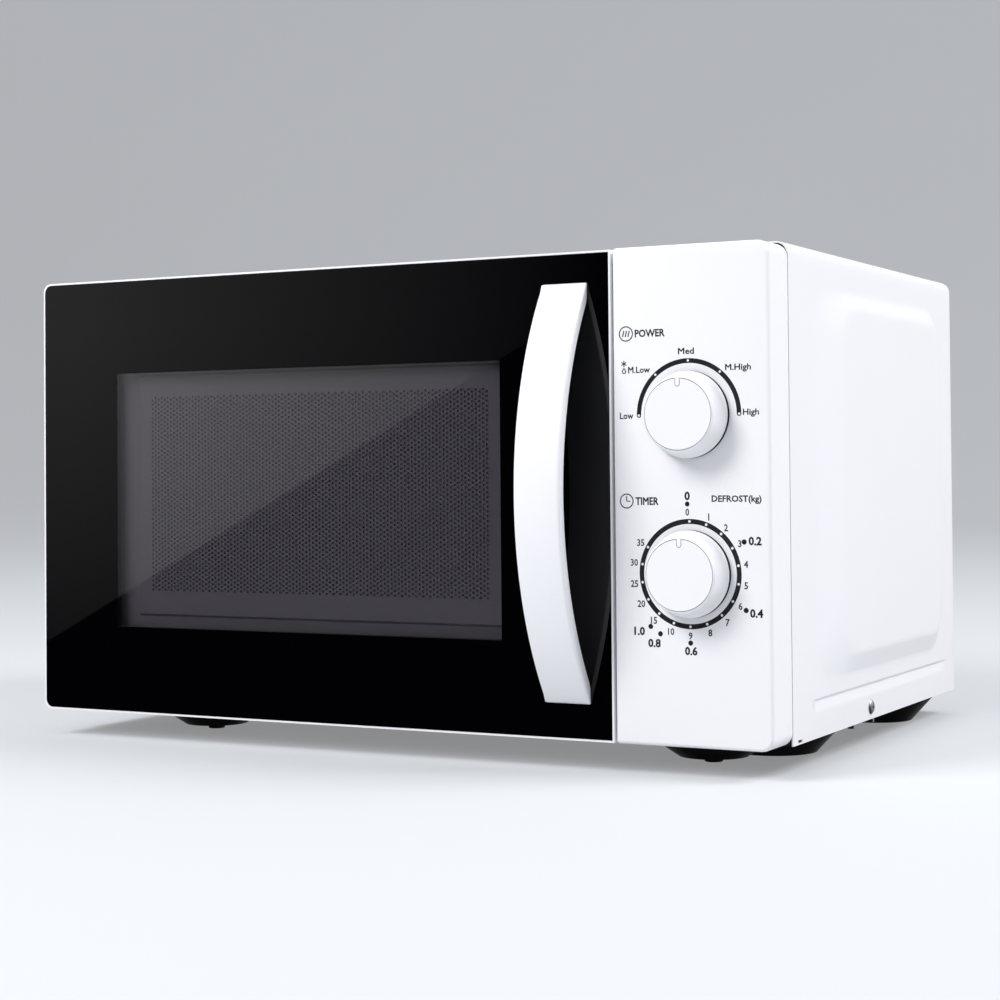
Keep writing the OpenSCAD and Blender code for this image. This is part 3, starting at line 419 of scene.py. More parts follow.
# the groove under that panel and the slot for the base's hook, each from and to
GROOVE_Y, GROOVE_Z = (57, 290), (13, 19.4)
HOOK_Y, HOOK_Z = (33, 39), (0.8, 2.2)


def inside(y, z, lo, hi, r):
    """How far a point lies inside a rounded rectangle, in millimetres; negative outside."""
    u = abs(y - (lo[0] + hi[0]) / 2) - (hi[0] - lo[0]) / 2 + r
    v = abs(z - (lo[1] + hi[1]) / 2) - (hi[1] - lo[1]) / 2 + r
    return r - math.hypot(max(u, 0), max(v, 0)) - min(max(u, v), 0)


def pressed(y, z):
    """How far the side stands out at a place: the raised panel and the groove under it."""
    within = max(inside(y, z, *PRESS_FOOT), 0)
    beyond = max(-inside(y, z, *PRESS_FACE), 0)
    t = within / (within + beyond) if within + beyond > 0 else 0
    # the lower fold is crisp, and the others are drawn softly
    bend = 0.05 + 0.25 * min(max((z - 40) / 60, 0), 1)
    if t < bend:
        t = t * t / (2 * bend)
    elif t > 1 - bend:
        t = 1 - bend - (1 - t) * (1 - t) / (2 * bend)
    else:
        t = t - bend / 2
    rise = PRESS_RISE * t / (1 - bend)
    if GROOVE_Y[0] < y < GROOVE_Y[1] and GROOVE_Z[0] < z < GROOVE_Z[1]:
        ends = min((y - GROOVE_Y[0]) / 1.2, (GROOVE_Y[1] - y) / 16, 1)
        rise -= 1.3 * ends * min((z - GROOVE_Z[0]) / 5.6, (GROOVE_Z[1] - z) / 0.7, 1)
    return rise


def stations(*runs):
    """Places along a line: each run is (from, to, step), and shared ends count once."""
    found = []
    for start, end, step in runs:
        n = max(1, round((end - start) / step))
        found += [start + (end - start) * i / n for i in range(n)]
    return found + [runs[-1][1]]


def cabinet_cover():
    """The wrap-round cover: rings of the side, top and side, folded in at the back, then thickened."""
    side_z = stations((0, HOOK_Z[0], 0.8), (*HOOK_Z, 1.4), (HOOK_Z[1], 12, 4), (12, 19, 0.8),
                      (19, 20, 0.35), (20, 27, 2.3), (27, 38, 1.1), (38, 46, 2), (46, 200, 11),
                      (200, 228, 1.4), (228, 237.5, 4.7))
    deep = stations((COVER_FRONT, HOOK_Y[0], 3.5), (*HOOK_Y, 3), (HOOK_Y[1], 57, 6), (57, 62, 0.8),
                    (62, 104, 1.75), (104, 250, 9), (250, 294, 1.4), (294, REAR - FOLD, 5))
    sections = [(y, 0.0) for y in deep]
    for i in range(1, 7):
        t = math.pi / 2 * i / 6
        sections.append((REAR - FOLD + FOLD * math.sin(t), FOLD * (1 - math.cos(t))))
    sections += [(REAR, 9.0), (REAR, 12.0)]
    rings = []
    for y, inset in sections:
        r = max(FOLD - inset, 0.0)
        corner = HALF - inset - r
        right = [(HALF - inset + pressed(y, z), y, min(z, TOP - inset - r)) for z in side_z]
        right += [(corner + r * math.sin(a), y, TOP - inset - r + r * math.cos(a))
                  for a in [math.radians(90 - 15 * k) for k in range(1, 7)]]
        across = [corner - (2 * corner) * k / 12 for k in range(1, 12)]
        rings.append(right + [(x, y, TOP - inset) for x in across]
                     + [(-x, y, z) for x, y, z in reversed(right)])
    n = len(rings[0])
    faces = [[r * n + i, r * n + i + 1, (r + 1) * n + i + 1, (r + 1) * n + i]
             for r in range(len(rings) - 1) for i in range(n - 1)]
    # a small slot low at the front of each side takes the base's hook
    faces = [f for f in faces
             if not (HOOK_Y[0] <= (rings[f[0] // n][0][1] + rings[f[2] // n][0][1]) / 2 <= HOOK_Y[1]
                     and HOOK_Z[0] <= (rings[0][f[0] % n][2] + rings[0][f[1] % n][2]) / 2 <= HOOK_Z[1])]
    piece = from_lists("cabinet_cover_shell", [p for ring in rings for p in ring], faces, turn_out=False)
    top_faces = [f for f in piece.data.polygons if f.normal.z > 0.9]
    if not top_faces:
        piece.data.flip_normals()
    wall = piece.modifiers.new("wall", "SOLIDIFY")
    wall.thickness = SHEET * MM
    wall.offset = -1
    bake(piece)
    return finish(smooth(piece, 40), "cabinet_cover")


cabinet_cover()

# ---------------------------------------------------------------- control panel, its print and the painted shadow rings under its knobs

PANEL_X, PANEL_Z, PANEL_DEEP = (138.8, 220.0), (0.2, 242.0), 25.0
KNOB_X, POWER_Z, TIMER_Z = 178.3, 159.8, 83.4


def control_panel():
    """The hollow moulding that carries the knobs, with a rolled front edge."""
    def outline(inset):
        right = max(6.7 - inset, 3.2)
        left = max(1.5 - inset, 0.4)
        return rounded((PANEL_X[0] + inset * 0.35, PANEL_Z[0] + inset),
                       (PANEL_X[1] - inset, PANEL_Z[1] - inset),
                       (left, right, right, left), 10)

    edge = 2.0
    steps = [math.radians(15 * k) for k in range(7)]
    rings = [(edge * (1 - math.sin(t)), edge * (1 - math.cos(t))) for t in steps]
    rings += [(0, PANEL_DEEP), (2.4, PANEL_DEEP), (2.4, 2.4)]
    skin = lofted("control_panel_moulding", [[(x, y, z) for x, z in outline(inset)] for inset, y in rings])
    holes = [turned("hole", [(4.5, -2), (4.5, 4)], (KNOB_X, z), steps=48) for z in (POWER_Z, TIMER_Z)]
    cut(skin, *holes)
    return finish(smooth(skin, 32), "control_panel")


control_panel()


# the ink stands this far off the panel and reaches this far into it
INK = (-0.05, 0.05)


def lettering(words, box=None, centre=None, height=None, bold=0.0, squeeze=1.0):
    """Raised ink letters: fitted to a box (x0, z0, x1, z1), or a height about a centre."""
    curve = bpy.data.curves.new(words, "FONT")
    curve.body = words
    curve.size = 1
    curve.bevel_resolution = 0
    curve.extrude = 0.05
    curve.resolution_u = 2
    writer = show("letters", curve)
    layers = []
    for depth in (bold, 0.0):
        curve.bevel_depth = depth
        bpy.context.view_layer.update()
        layers.append(as_mesh(writer))
    bpy.data.objects.remove(writer)
    xs = [v.co.x for v in layers[0].vertices]
    ys = [v.co.y for v in layers[0].vertices]
    x0, x1, z0, z1 = min(xs), max(xs), min(ys), max(ys)
    if box is None:
        scale = height / (z1 - z0)
        half = (x1 - x0) * scale * squeeze / 2
        box = (centre[0] - half, centre[1] - height / 2, centre[0] + half, centre[1] + height / 2)
    for layer, mesh in enumerate(layers):
        for v in mesh.vertices:
            u = (v.co.x - x0) / (x1 - x0)
            w = (v.co.y - z0) / (z1 - z0)
            v.co = at(box[0] + u * (box[2] - box[0]), INK[0] - 0.01 * layer if v.co.z > 0 else INK[1],
                      box[1] + w * (box[3] - box[1]))
    return join("letters", [mend(show("layer", mesh)) for mesh in layers])


def dot(x, z, r, y=INK):
    """A round printed dot."""
    return turned("dot", [(0, y[0]), (r, y[0]), (r, y[1]), (0, y[1])], (x, z), steps=24)


def hollow(name, outer, inner, y):
    """An outline with a hole of as many points, made solid between two places in y."""
    n = len(outer)
    points = [(px, yy, pz) for yy in y for px, pz in outer + inner]
    faces = []
    for i in range(n):
        j = (i + 1) % n
        faces += [[i, j, n + j, n + i], [2 * n + i, 3 * n + i, 3 * n + j, 2 * n + j],
                  [i, 2 * n + i, 2 * n + j, j], [n + i, n + j, 3 * n + j, 3 * n + i]]
    return from_lists(name, points, faces)


def ring_band(x, z, r0, r1, start=0, end=360, round_ends=False):
    """A flat band between two radii; angles run clockwise from the top."""
    y = (-0.04, INK[1])
    steps = max(8, int((end - start) / 5))
    outer = arc(x, z, r1, 90 - start, 90 - end, steps)
    inner = arc(x, z, r0, 90 - end, 90 - start, steps)
    if end - start >= 360:
        return hollow("band", outer[:-1], inner[:-1][::-1], y)
    if round_ends:
        mid, half = (r0 + r1) / 2, (r1 - r0) / 2
        caps = []
        for angle, first in ((90 - end, 90 - end), (90 - start, 270 - start)):
            cx = x + mid * math.cos(math.radians(angle))
            cz = z + mid * math.sin(math.radians(angle))
            caps.append(arc(cx, cz, half, first, first - 180, 8)[1:-1])
        return slab("band", outer + caps[0] + inner + caps[1], *y)
    return slab("band", outer + inner, *y)


def stroke(points, width):
    """A thin printed line through points in x and z."""
    left, right = [], []
    for i, (px, pz) in enumerate(points):
        ax, az = points[max(i - 1, 0)]
        bx, bz = points[min(i + 1, len(points) - 1)]
        length = math.hypot(bx - ax, bz - az)
        nx, nz = -(bz - az) / length * width / 2, (bx - ax) / length * width / 2
        left.append((px + nx, pz + nz))
        right.append((px - nx, pz - nz))
    return slab("stroke", left + right[::-1], *INK)


def panel_print():
    """Everything printed on the panel, and the painted shadow rings under the knobs, as one dark and one
    white piece.
    """
    dark, light = [], []
    x, z = KNOB_X, POWER_Z
    # power dial: a half ring with five stops
    dark.append(ring_band(x, z, 24.8, 27.1, -90, 90, True))
    for a in (-90, -41, 0, 39, 90):
        t = math.radians(a)
        light.append(dot(x + 26 * math.sin(t), z + 26 * math.cos(t), 0.6, (-0.07, 0.02)))
    for words, x0, z0, x1, z1, bold in (("POWER", -27.8, 38.0, -11.9, 41.8, 0.028),
                                        ("Med", -5.1, 29.05, 3.2, 32.15, 0.02),
                                        ("M.Low", -31.5, 20.6, -19.9, 23.8, 0.02),
                                        ("M.High", 19.1, 19.8, 32.2, 23.7, 0.02),
                                        ("Low", -36.1, -1.6, -28.9, 1.6, 0.02),
                                        ("High", 27.9, -1.6, 36.0, 2.3, 0.02)):
        dark.append(lettering(words, (x + x0, z + z0, x + x1, z + z1), bold=bold))
    # waves in a circle beside the word for power
    ix, iz = x - 32.5, z + 39.9
    dark.append(ring_band(ix, iz, 3.2, 3.75))
    for k in (-1.45, 0, 1.45):
        lean = [(ix + k + 0.3 * math.sin(math.pi * (i - 3) / 6), iz - 1.5 + 0.5 * i) for i in range(7)]
        dark.append(stroke(lean, 0.6))
    # a snow crystal over a drop: the thaw setting
    sx, sz = x - 33.7, z + 25.3
    for a in (0, 60, 120):
        c, s = math.cos(math.radians(a + 30)), math.sin(math.radians(a + 30))
        dark.append(stroke([(sx - 1.5 * c, sz - 1.5 * s), (sx + 1.5 * c, sz + 1.5 * s)], 0.46))
    drop = [(sx, z + 23.5)] + arc(sx, z + 21.5, 1.15, 40, -220, 14)
    inner = [(sx, z + 22.75)] + arc(sx, z + 21.5, 0.65, 40, -220, 14)
    dark.append(hollow("drop", drop, inner, INK))
    # timer dial: a full ring with sixteen stops and their minutes
    z = TIMER_Z
    dark.append(ring_band(x, z, 24.0, 26.4))
    # painted shadow: dark rings under the knobs' rims stand for the shadow in the gap between each rim and
    # the panel
    dark += [ring_band(x, knob_z, 18.8, 21.1) for knob_z in (POWER_Z, TIMER_Z)]
    minutes = list(range(10)) + [10, 15, 20, 25, 30, 35]
    for k, minute in enumerate(minutes):
        t = math.radians(20 * k)
        light.append(dot(x + 25.2 * math.sin(t), z + 25.2 * math.cos(t), 0.65, (-0.07, 0.02)))
        reach = 29.1 if minute in (1, 2, 4, 5) else 29.6
        dark.append(lettering(str(minute), centre=(x + reach * math.sin(t) - (1.1 if k == 0 else 0),
                    z + reach * math.cos(t)), height=3.4, bold=0.02, squeeze=0.9))
    # thawing weights outside the ring
    dark.append(lettering("0", centre=(x - 1.1, z + 37.4), height=4.3, bold=0.036))
    dark.append(dot(x - 1.1, z + 33.5, 1.2))
    for words, r, a, px, pz in (("0.2", 31.9, 60.7, 33.35, 16.1), ("0.4", 33, 120.4, 33.7, -18.0),
                                ("0.6", 33, 180, 0.2, -36.8), ("0.8", 33, -151.6, -18.9, -33.6),
                                ("1.0", 33, -141, -26.7, -28.0)):
        t = math.radians(a)
        dark.append(dot(x + r * math.sin(t), z + r * math.cos(t), 1.25))
        dark.append(lettering(words, centre=(x + px, z + pz), height=4.2, bold=0.036))
    dark.append(lettering("TIMER", (x - 28.2, z + 33.0, x - 16.0, z + 36.8), bold=0.028))
    dark.append(lettering("DEFROST(kg)", (x + 11.5, z + 33.6, x + 36.8, z + 37.7), bold=0.024))
    # a clock beside the word for time
    ix, iz = x - 32.9, z + 34.9
    dark.append(ring_band(ix, iz, 3.1, 3.65))
    dark.append(stroke([(ix, iz + 2.4), (ix, iz), (ix + 1.9, iz - 0.1)], 0.55))
    for name, parts, ink in (("panel_print_and_painted_shadow_dark", dark, ink_dark_and_painted_shadow), ("panel_print_white", light, ink_white)):
        piece = join(name, parts)
        piece.data.materials.append(ink)
        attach(piece, BODY_OF["control_panel"])


panel_print()

# ---------------------------------------------------------------- knobs


def notched_disc(r, half, reach):
    """A disc's outline with a round-ended notch at its top, centred on the axis."""
    top = math.degrees(math.asin(half / r))
    rim = arc(0, 0, r, 90 + top, 450 - top, 96)
    notch = arc(0, reach + half, half, 0, -180, 12)
    return rim + notch


def control_knob(node, z):
    """A hollow knob with a flared skirt and an inset face, whose notch is the pointer."""
    out = 13.5
    face_r = 18.3
    edge = [(face_r - 1.3 + 1.3 * math.sin(t), -out + 1.3 * (1 - math.cos(t)))
            for t in [math.radians(15 * k) for k in range(7)]]
    skirt = [(18.75, -10.2), (19.5, -6.4), (20.3, -3.2), (20.9, -2.6), (21.0, -2.1), (20.6, -2.0)]
    hollow = [(19.0, -2.05), (16.5, -10.3), (6.0, -10.5), (6.0, -0.9), (0, -0.9)]
    skin = turned(node + "_moulding", [(0, -out)] + edge + skirt + hollow, (KNOB_X, z), steps=120)

    def placed(outline):
        return [(KNOB_X + px, z + pz) for px, pz in outline]

    cut(skin, slab("pocket", placed(notched_disc(17.3, 1.0, 13.4)), -out - 1, -out + 2.0),
        turned("bore", [(3.05, -10.1), (3.05, 0)], (KNOB_X, z), steps=36))
    cap = slab("cap", placed(notched_disc(16.95, 1.35, 13.05)), -out + 0.02, -out + 2.0)
    piece = join(node + "_moulding", [smooth(skin, 30), smooth(cap, 30)])
    return finish(piece, node)


control_knob("power_knob", POWER_Z)
control_knob("timer_knob", TIMER_Z)

# ---------------------------------------------------------------- door


def cross_screws(name, places, head_r, dome, shank_r, length):
    """Domed screws with a cross recess at places, each a point and the way its head looks."""
    sizes = {"Head Radius": head_r * MM, "Dome Height": dome * MM, "Shank Radius": shank_r * MM,
             "Shank Length": length * MM}
    tree, sockets = group_of(name, sizes)
    given = add(tree, "NodeGroupInput").outputs
    ball = add(tree, "GeometryNodeMeshUVSphere",
               inputs={"Segments": 28, "Rings": 14, "Radius": given["Head Radius"]})
    flatter = add(tree, "ShaderNodeMath", OVER, {0: given["Dome Height"], 1: given["Head Radius"]})
    squash = add(tree, "ShaderNodeCombineXYZ", inputs={0: 1.0, 1: 1.0, 2: flatter})
    head = add(tree, "GeometryNodeTransform", inputs={"Geometry": ball, "Scale": squash})
    # the cross is as long as the head's radius and a quarter of that wide, three quarters into the dome
    width = add(tree, "ShaderNodeMath", TIMES, {0: given["Head Radius"], 1: 0.24})
    depth = add(tree, "ShaderNodeMath", TIMES, {0: given["Dome Height"], 1: 1.5})
    arm_x = add(tree, "ShaderNodeCombineXYZ", inputs={0: given["Head Radius"], 1: width, 2: depth})
    arm_y = add(tree, "ShaderNodeCombineXYZ", inputs={0: width, 1: given["Head Radius"], 2: depth})
    top = add(tree, "ShaderNodeCombineXYZ", inputs={2: given["Dome Height"]})
    arms = [add(tree, "GeometryNodeTransform", inputs={
            "Geometry": add(tree, "GeometryNodeMeshCube", inputs={"Size": arm}),
            "Translation": top}) for arm in (arm_x, arm_y)]
    opened = head
    for arm in arms:
        opened = add(tree, "GeometryNodeMeshBoolean", {"operation": "DIFFERENCE", "solver": "EXACT"},
                     {"Mesh 1": opened, "Mesh 2": arm})
    half = add(tree, "ShaderNodeMath", TIMES, {0: given["Shank Length"], 1: -0.5})
    down = add(tree, "ShaderNodeCombineXYZ", inputs={2: half})
    rod = add(tree, "GeometryNodeMeshCylinder",
              inputs={"Vertices": 20, "Radius": given["Shank Radius"], "Depth": given["Shank Length"]})
    shank = add(tree, "GeometryNodeTransform", inputs={"Geometry": rod, "Translation": down})
    screw = add(tree, "GeometryNodeJoinGeometry", inputs={0: (opened, shank)})
    outward = add(tree, "GeometryNodeInputNamedAttribute", {"data_type": "FLOAT_VECTOR"}, {"Name": "outward"})
    turn = add(tree, "FunctionNodeAlignRotationToVector", {"axis": "Z"}, {"Vector": outward})
    many = add(tree, "GeometryNodeInstanceOnPoints",
               inputs={"Points": given["Geometry"], "Instance": screw, "Rotation": turn})
    real = add(tree, "GeometryNodeRealizeInstances", inputs={"Geometry": many})
    plated = add(tree, "GeometryNodeSetMaterial", inputs={"Geometry": real, "Material": zinc})
    add(tree, "NodeGroupOutput", inputs={0: plated})
    mesh = bpy.data.meshes.new(name)
    mesh.from_pydata([at(*place) for place, way in places], [], [])
    ways = mesh.attributes.new("outward", "FLOAT_VECTOR", "POINT")
    ways.data.foreach_set("vector", [c for place, way in places for c in way])
    piece = show(name, mesh)
    grown(piece, tree, sockets, sizes)
    for attribute in [a for a in piece.data.attributes if a.name == "outward"]:
        piece.data.attributes.remove(attribute)
    return smooth(piece, 40)


def cabinet_screws():
    """One screw low on each side and three along the top of the back."""
    side_y, side_z, rear_z = 145, 6.5, 234
    side = [((s * HALF, side_y, side_z), (s, 0, 0)) for s in (-1, 1)]
    rear = [((x, REAR, rear_z), (0, 1, 0)) for x in (-150, 0, 150)]
    finish(cross_screws("cabinet_screws_domed", side + rear, 3.9, 1.75, 2.0, 7), "cabinet_screws")


# the handle's middle, and how far its two fixing bosses are from it
HANDLE_X, HANDLE_Z, BOSS_REACH = 112.75, 122.2, 97.5


def door_outline(margin):
    """The door's outline, brought in by a margin; only its free corners at the left are round."""
    left, right = -218.6 + margin, 137.5 - margin
    lo, hi = 0.4 + margin, 241.4 - margin
    r = 5 - margin * 0.6
    return rounded((left, lo), (right, hi), (r, 0.3, 0.3, r))


WINDOW_LO, WINDOW_HI = (-166.0, 48.5), (75.7, 189.0)


def door_glass():
    """The printed pane with its window cut out, and a clear pane in the window."""
    pane = slab("printed", door_outline(1.1), 0, 3.2)
    window = [(WINDOW_LO[0], WINDOW_LO[1]), (WINDOW_HI[0], WINDOW_LO[1]), WINDOW_HI,
              (WINDOW_LO[0], WINDOW_HI[1])]
    hole = slab("window_hole", window, -1, 4)
    bosses = [turned("boss_hole", [(4.8, -1), (4.8, 4)], (HANDLE_X, HANDLE_Z + s * BOSS_REACH),
                     steps=48) for s in (-1, 1)]
    cut(pane, hole, *bosses)
    pane.name = "door_glass_printed"
    finish(soften(pane, 0.25, 2), "door_glass", material=glass_black)
    clear = slab("door_glass_clear", window, 0, 3.2)
    finish(clear, "door_glass", material=glass_clear, slot="clear_glass")


door_glass()


def door_handle():
    """The bow: a section that thins to nothing at both ends, on two screw bosses."""
    outer_r, inner_r, half_x, half_z = 179.2, 173.4, 12.45, 103.6
    centre_y = outer_r - 33.9
    rings = []
    reach = stations((-half_z, -half_z + 0.8, 0.25), (-half_z + 0.8, half_z - 0.8, 3.4),
                     (half_z - 0.8, half_z, 0.25))
    for dz in reach:
        front = centre_y - math.sqrt(outer_r ** 2 - dz ** 2)
        back = centre_y - math.sqrt(max(inner_r ** 2 - dz ** 2, 0))
        back = min(back, 0.0)
        near_end = min(half_z - abs(dz), 0.8)
        inset = 0.8 - math.sqrt(max(0.64 - (0.8 - near_end) ** 2, 0))
        front = min(front + inset, back - 0.25)
        w = half_x - inset
        r = min(1.5, (back - front) * 0.45)
        crown = min(0.35, (back - front) * 0.1)
        section = arc(-w + r, front + r + crown, r, 180, 270, 5)
        section += [(-w * 0.5, front + crown * 0.25), (0, front), (w * 0.5, front + crown * 0.25)]
        section += arc(w - r, front + r + crown, r, 270, 360, 5)
        q = min(0.8, (back - front) * 0.3)
        section += arc(w - q, back - q, q, 0, 90, 3) + arc(-w + q, back - q, q, 90, 180, 3)
        rings.append([(HANDLE_X + x, y, HANDLE_Z + dz) for x, y in section])
    bow = smooth(lofted("bow", rings), 40)
    bosses = [turned("boss", [(0, -0.5), (4.5, -0.5), (4.5, 5.4), (1.75, 5.4), (1.75, -0.4), (0, -0.4)],
                     (HANDLE_X, HANDLE_Z + s * BOSS_REACH), steps=36) for s in (-1, 1)]
    finish(join("door_handle_moulding", [bow] + [smooth(b) for b in bosses]), "door_handle")


door_handle()


def perforated_field(columns, rows, pitch_x, pitch_z, hole):
    """A flat field of round holes on a staggered grid, in its own x and y, as geometry nodes."""
    sizes = {"Columns": columns, "Rows": rows, "Pitch Across": pitch_x * MM, "Pitch Up": pitch_z * MM,
             "Hole Radius": hole * MM}
    tree, sockets = group_of("perforation", sizes)
    given = add(tree, "NodeGroupInput").outputs

    # one brick with a hole: six points on its edge, since the next column is half a brick up
    ring = add(tree, "GeometryNodeMeshCircle", {"fill_type": "NGON"}, {"Vertices": 6, "Radius": 0.001})
    place = add(tree, "ShaderNodeSeparateXYZ", inputs={0: add(tree, "GeometryNodeInputPosition")})
    side = add(tree, "ShaderNodeMath", {"operation": "SIGN"}, {0: place.outputs[0]})
    half_pitch = add(tree, "ShaderNodeMath", TIMES, {0: given["Pitch Across"], 1: 0.5})
    brick_x = add(tree, "ShaderNodeMath", TIMES, {0: side, 1: half_pitch})
    # a hexagon of radius 1 mm is the square root of 3 tall, and the brick is one pitch tall
    tall = add(tree, "ShaderNodeMath", OVER, {0: given["Pitch Up"], 1: math.sqrt(3) * MM})
    brick_y = add(tree, "ShaderNodeMath", TIMES, {0: place.outputs[1], 1: tall})
    corner = add(tree, "ShaderNodeCombineXYZ", inputs={0: brick_x, 1: brick_y})
    brick = add(tree, "GeometryNodeSetPosition", inputs={"Geometry": ring, "Position": corner})
    opened = add(tree, "GeometryNodeExtrudeMesh", {"mode": "FACES"}, {"Mesh": brick, "Offset Scale": 0.0})
    direction = add(tree, "ShaderNodeVectorMath", {"operation": "NORMALIZE"},
                    {0: add(tree, "GeometryNodeInputPosition")})
    rim = add(tree, "ShaderNodeVectorMath", {"operation": "SCALE"},
              {0: direction, "Scale": given["Hole Radius"]})
    shaped = add(tree, "GeometryNodeSetPosition",
                 inputs={"Geometry": opened.outputs["Mesh"], "Selection": opened.outputs["Top"],
                         "Position": rim})
    cell = add(tree, "GeometryNodeDeleteGeometry", {"domain": "FACE"},
               {"Geometry": shaped, "Selection": opened.outputs["Top"]})
    # the staggered grid of places
    gaps_x = add(tree, "ShaderNodeMath", {"operation": "SUBTRACT"}, {0: given["Columns"], 1: 1.0})
    gaps_y = add(tree, "ShaderNodeMath", {"operation": "SUBTRACT"}, {0: given["Rows"], 1: 1.0})
    width = add(tree, "ShaderNodeMath", TIMES, {0: gaps_x, 1: given["Pitch Across"]})
    height = add(tree, "ShaderNodeMath", TIMES, {0: gaps_y, 1: given["Pitch Up"]})
    grid = add(tree, "GeometryNodeMeshGrid",
               inputs={"Size X": width, "Size Y": height, "Vertices X": given["Columns"],
                       "Vertices Y": given["Rows"]})
    point = add(tree, "ShaderNodeSeparateXYZ", inputs={0: add(tree, "GeometryNodeInputPosition")})
    from_left = add(tree, "ShaderNodeMath", {"operation": "MULTIPLY_ADD"},
                    {0: width, 1: 0.5, 2: point.outputs[0]})
    pitches = add(tree, "ShaderNodeMath", OVER, {0: from_left, 1: given["Pitch Across"]})
    column = add(tree, "ShaderNodeMath", {"operation": "ROUND"}, {0: pitches})
    odd = add(tree, "ShaderNodeMath", {"operation": "MODULO"}, {0: column, 1: 2.0})
    half_up = add(tree, "ShaderNodeMath", TIMES, {0: given["Pitch Up"], 1: 0.5})
    lift = add(tree, "ShaderNodeMath", TIMES, {0: odd, 1: half_up})
    shift = add(tree, "ShaderNodeCombineXYZ", inputs={1: lift})
    staggered = add(tree, "GeometryNodeSetPosition", inputs={"Geometry": grid, "Offset": shift})
    many = add(tree, "GeometryNodeInstanceOnPoints", inputs={"Points": staggered, "Instance": cell})
    real = add(tree, "GeometryNodeRealizeInstances", inputs={"Geometry": many})
    coated = add(tree, "GeometryNodeSetMaterial", inputs={"Geometry": real, "Material": enamel_screen})
    add(tree, "NodeGroupOutput", inputs={0: coated})
    carrier = show("perforation", bpy.data.meshes.new("perforation"))
    return grown(carrier, tree, sockets, sizes)


def door_screen():
    """The perforated plate with its margins and step, on the choke channel behind it."""
    columns, rows, pitch_x, pitch_z, hole = 101, 44, 2.113, 2.44, 0.75
    mid = (-40.3, 122.0)
    plate_y, step_y = 5.8, 7.0
    field = perforated_field(columns, rows, pitch_x, pitch_z, hole)
    half_w, half_h = columns * pitch_x / 2, rows * pitch_z / 2
    bm = bmesh.new()
    bm.from_mesh(field.data)
    for v in bm.verts:
        v.co = at(mid[0] + v.co.x / MM, plate_y, mid[1] - pitch_z / 4 + v.co.y / MM)
    # half bricks fill the stagger at the top and the bottom
    for k in range(columns):
        x = mid[0] - half_w + k * pitch_x
        low = mid[1] - pitch_z / 4 - half_h if k % 2 else mid[1] - pitch_z / 4 + half_h
        corners = [(x, low), (x + pitch_x, low), (x + pitch_x, low + pitch_z / 2), (x, low + pitch_z / 2)]
        bm.faces.new([bm.verts.new(at(px, plate_y, pz)) for px, pz in corners])
    bmesh.ops.remove_doubles(bm, verts=bm.verts, dist=2e-5)
    size = Vector((half_w, half_h + pitch_z / 4))
    # flat margins, a pressed step, and the rest of the plate out to its channel
    for lo, hi, y in (((-155, 55.5), (96, 187), plate_y), ((-156.2, 54.3), (97.2, 188.2), step_y),
                      ((-198, 12), (115, 229), step_y)):
        rim = [e for e in bm.edges if e.is_boundary
               and all(abs(abs(v.co.x / MM - mid[0]) - size.x) < 0.05
                       or abs(abs((v.co.z - LEVEL) / MM - mid[1]) - size.y) < 0.05 for v in e.verts)]
        made = bmesh.ops.extrude_edge_only(bm, edges=rim)["geom"]
        centre = Vector(((lo[0] + hi[0]) / 2, (lo[1] + hi[1]) / 2))
        grown = Vector(((hi[0] - lo[0]) / 2, (hi[1] - lo[1]) / 2))
        for v in [g for g in made if isinstance(g, bmesh.types.BMVert)]:
            u = (v.co.x / MM - mid[0]) / size.x
            w = ((v.co.z - LEVEL) / MM - mid[1]) / size.y
            v.co = at(centre.x + u * grown.x, y, centre.y + w * grown.y)
        mid, size = (centre.x, centre.y), grown
    bmesh.ops.recalc_face_normals(bm, faces=bm.faces)
    bm.faces.ensure_lookup_table()
    if sum(f.normal.y for f in bm.faces) > 0:
        bmesh.ops.reverse_faces(bm, faces=bm.faces)
    for face in bm.faces:
        face.material_index = 0
    bm.to_mesh(field.data)
    bm.free()
    field.data.materials.clear()
    wall = field.modifiers.new("wall", "SOLIDIFY")
    wall.thickness = SHEET * MM
    wall.offset = -1
    bake(field)
    field.name = "door_screen_plate"
    # the choke channel behind it, from the CAD solid without its front wall
    channel = copy_of("door_screen", "door_screen_channel")
    cut(channel, block("front_wall", (-200, 6, 10), (117, 7.8, 231)))
    finish(soften(channel, 0.3, 1), "door_screen")
    finish(smooth(field, 25), "door_screen")


door_screen()

cabinet_screws()

# pieces whose shape is right get rounded edges, by these widths in millimetres
for shaped, width in (("door_frame", 0.3), ("glass_tray", 0.6), ("front_feet", 0.8), ("roller_ring", 0.4),
                      ("roller_1", 0.4), ("roller_2", 0.4), ("roller_3", 0.4), ("waveguide_cover", 0.15),
                      ("choke_cover", 0.4), ("front_plate", 0.25), ("base_plate", 0.5), ("back_plate", 0.2),
                      ("upper_hinge", 0.3), ("lower_hinge", 0.3), ("latch_hook", 0.3), ("cord_gland", 0.4),
                      ("turntable_coupler", 0.4)):
    finish(soften(copy_of(shaped, shaped + "_softened"), width), shaped)

# ---------------------------------------------------------------- camera, light and floor


EYE = Vector((0.5657, -1.05795, 0.1513))


def camera():
    """A long lens from the right of the front, level with the oven."""
    data = bpy.data.cameras.new("camera")
    turns = ((28.06, "Z"), (91.22, "X"), (-0.48, "Z"))
    data.lens = 74.556
    data.sensor_width = 36
    data.shift_y = -0.08
    data.clip_end = 50
    eye = show("camera", data)
    eye.matrix_world = Matrix.Translation(EYE)
    for angle, axis in turns:
        eye.matrix_world = eye.matrix_world @ Matrix.Rotation(math.radians(angle), 4, axis)
    bpy.context.scene.camera = eye


camera()
bpy.context.scene.view_settings.view_transform = "Standard"


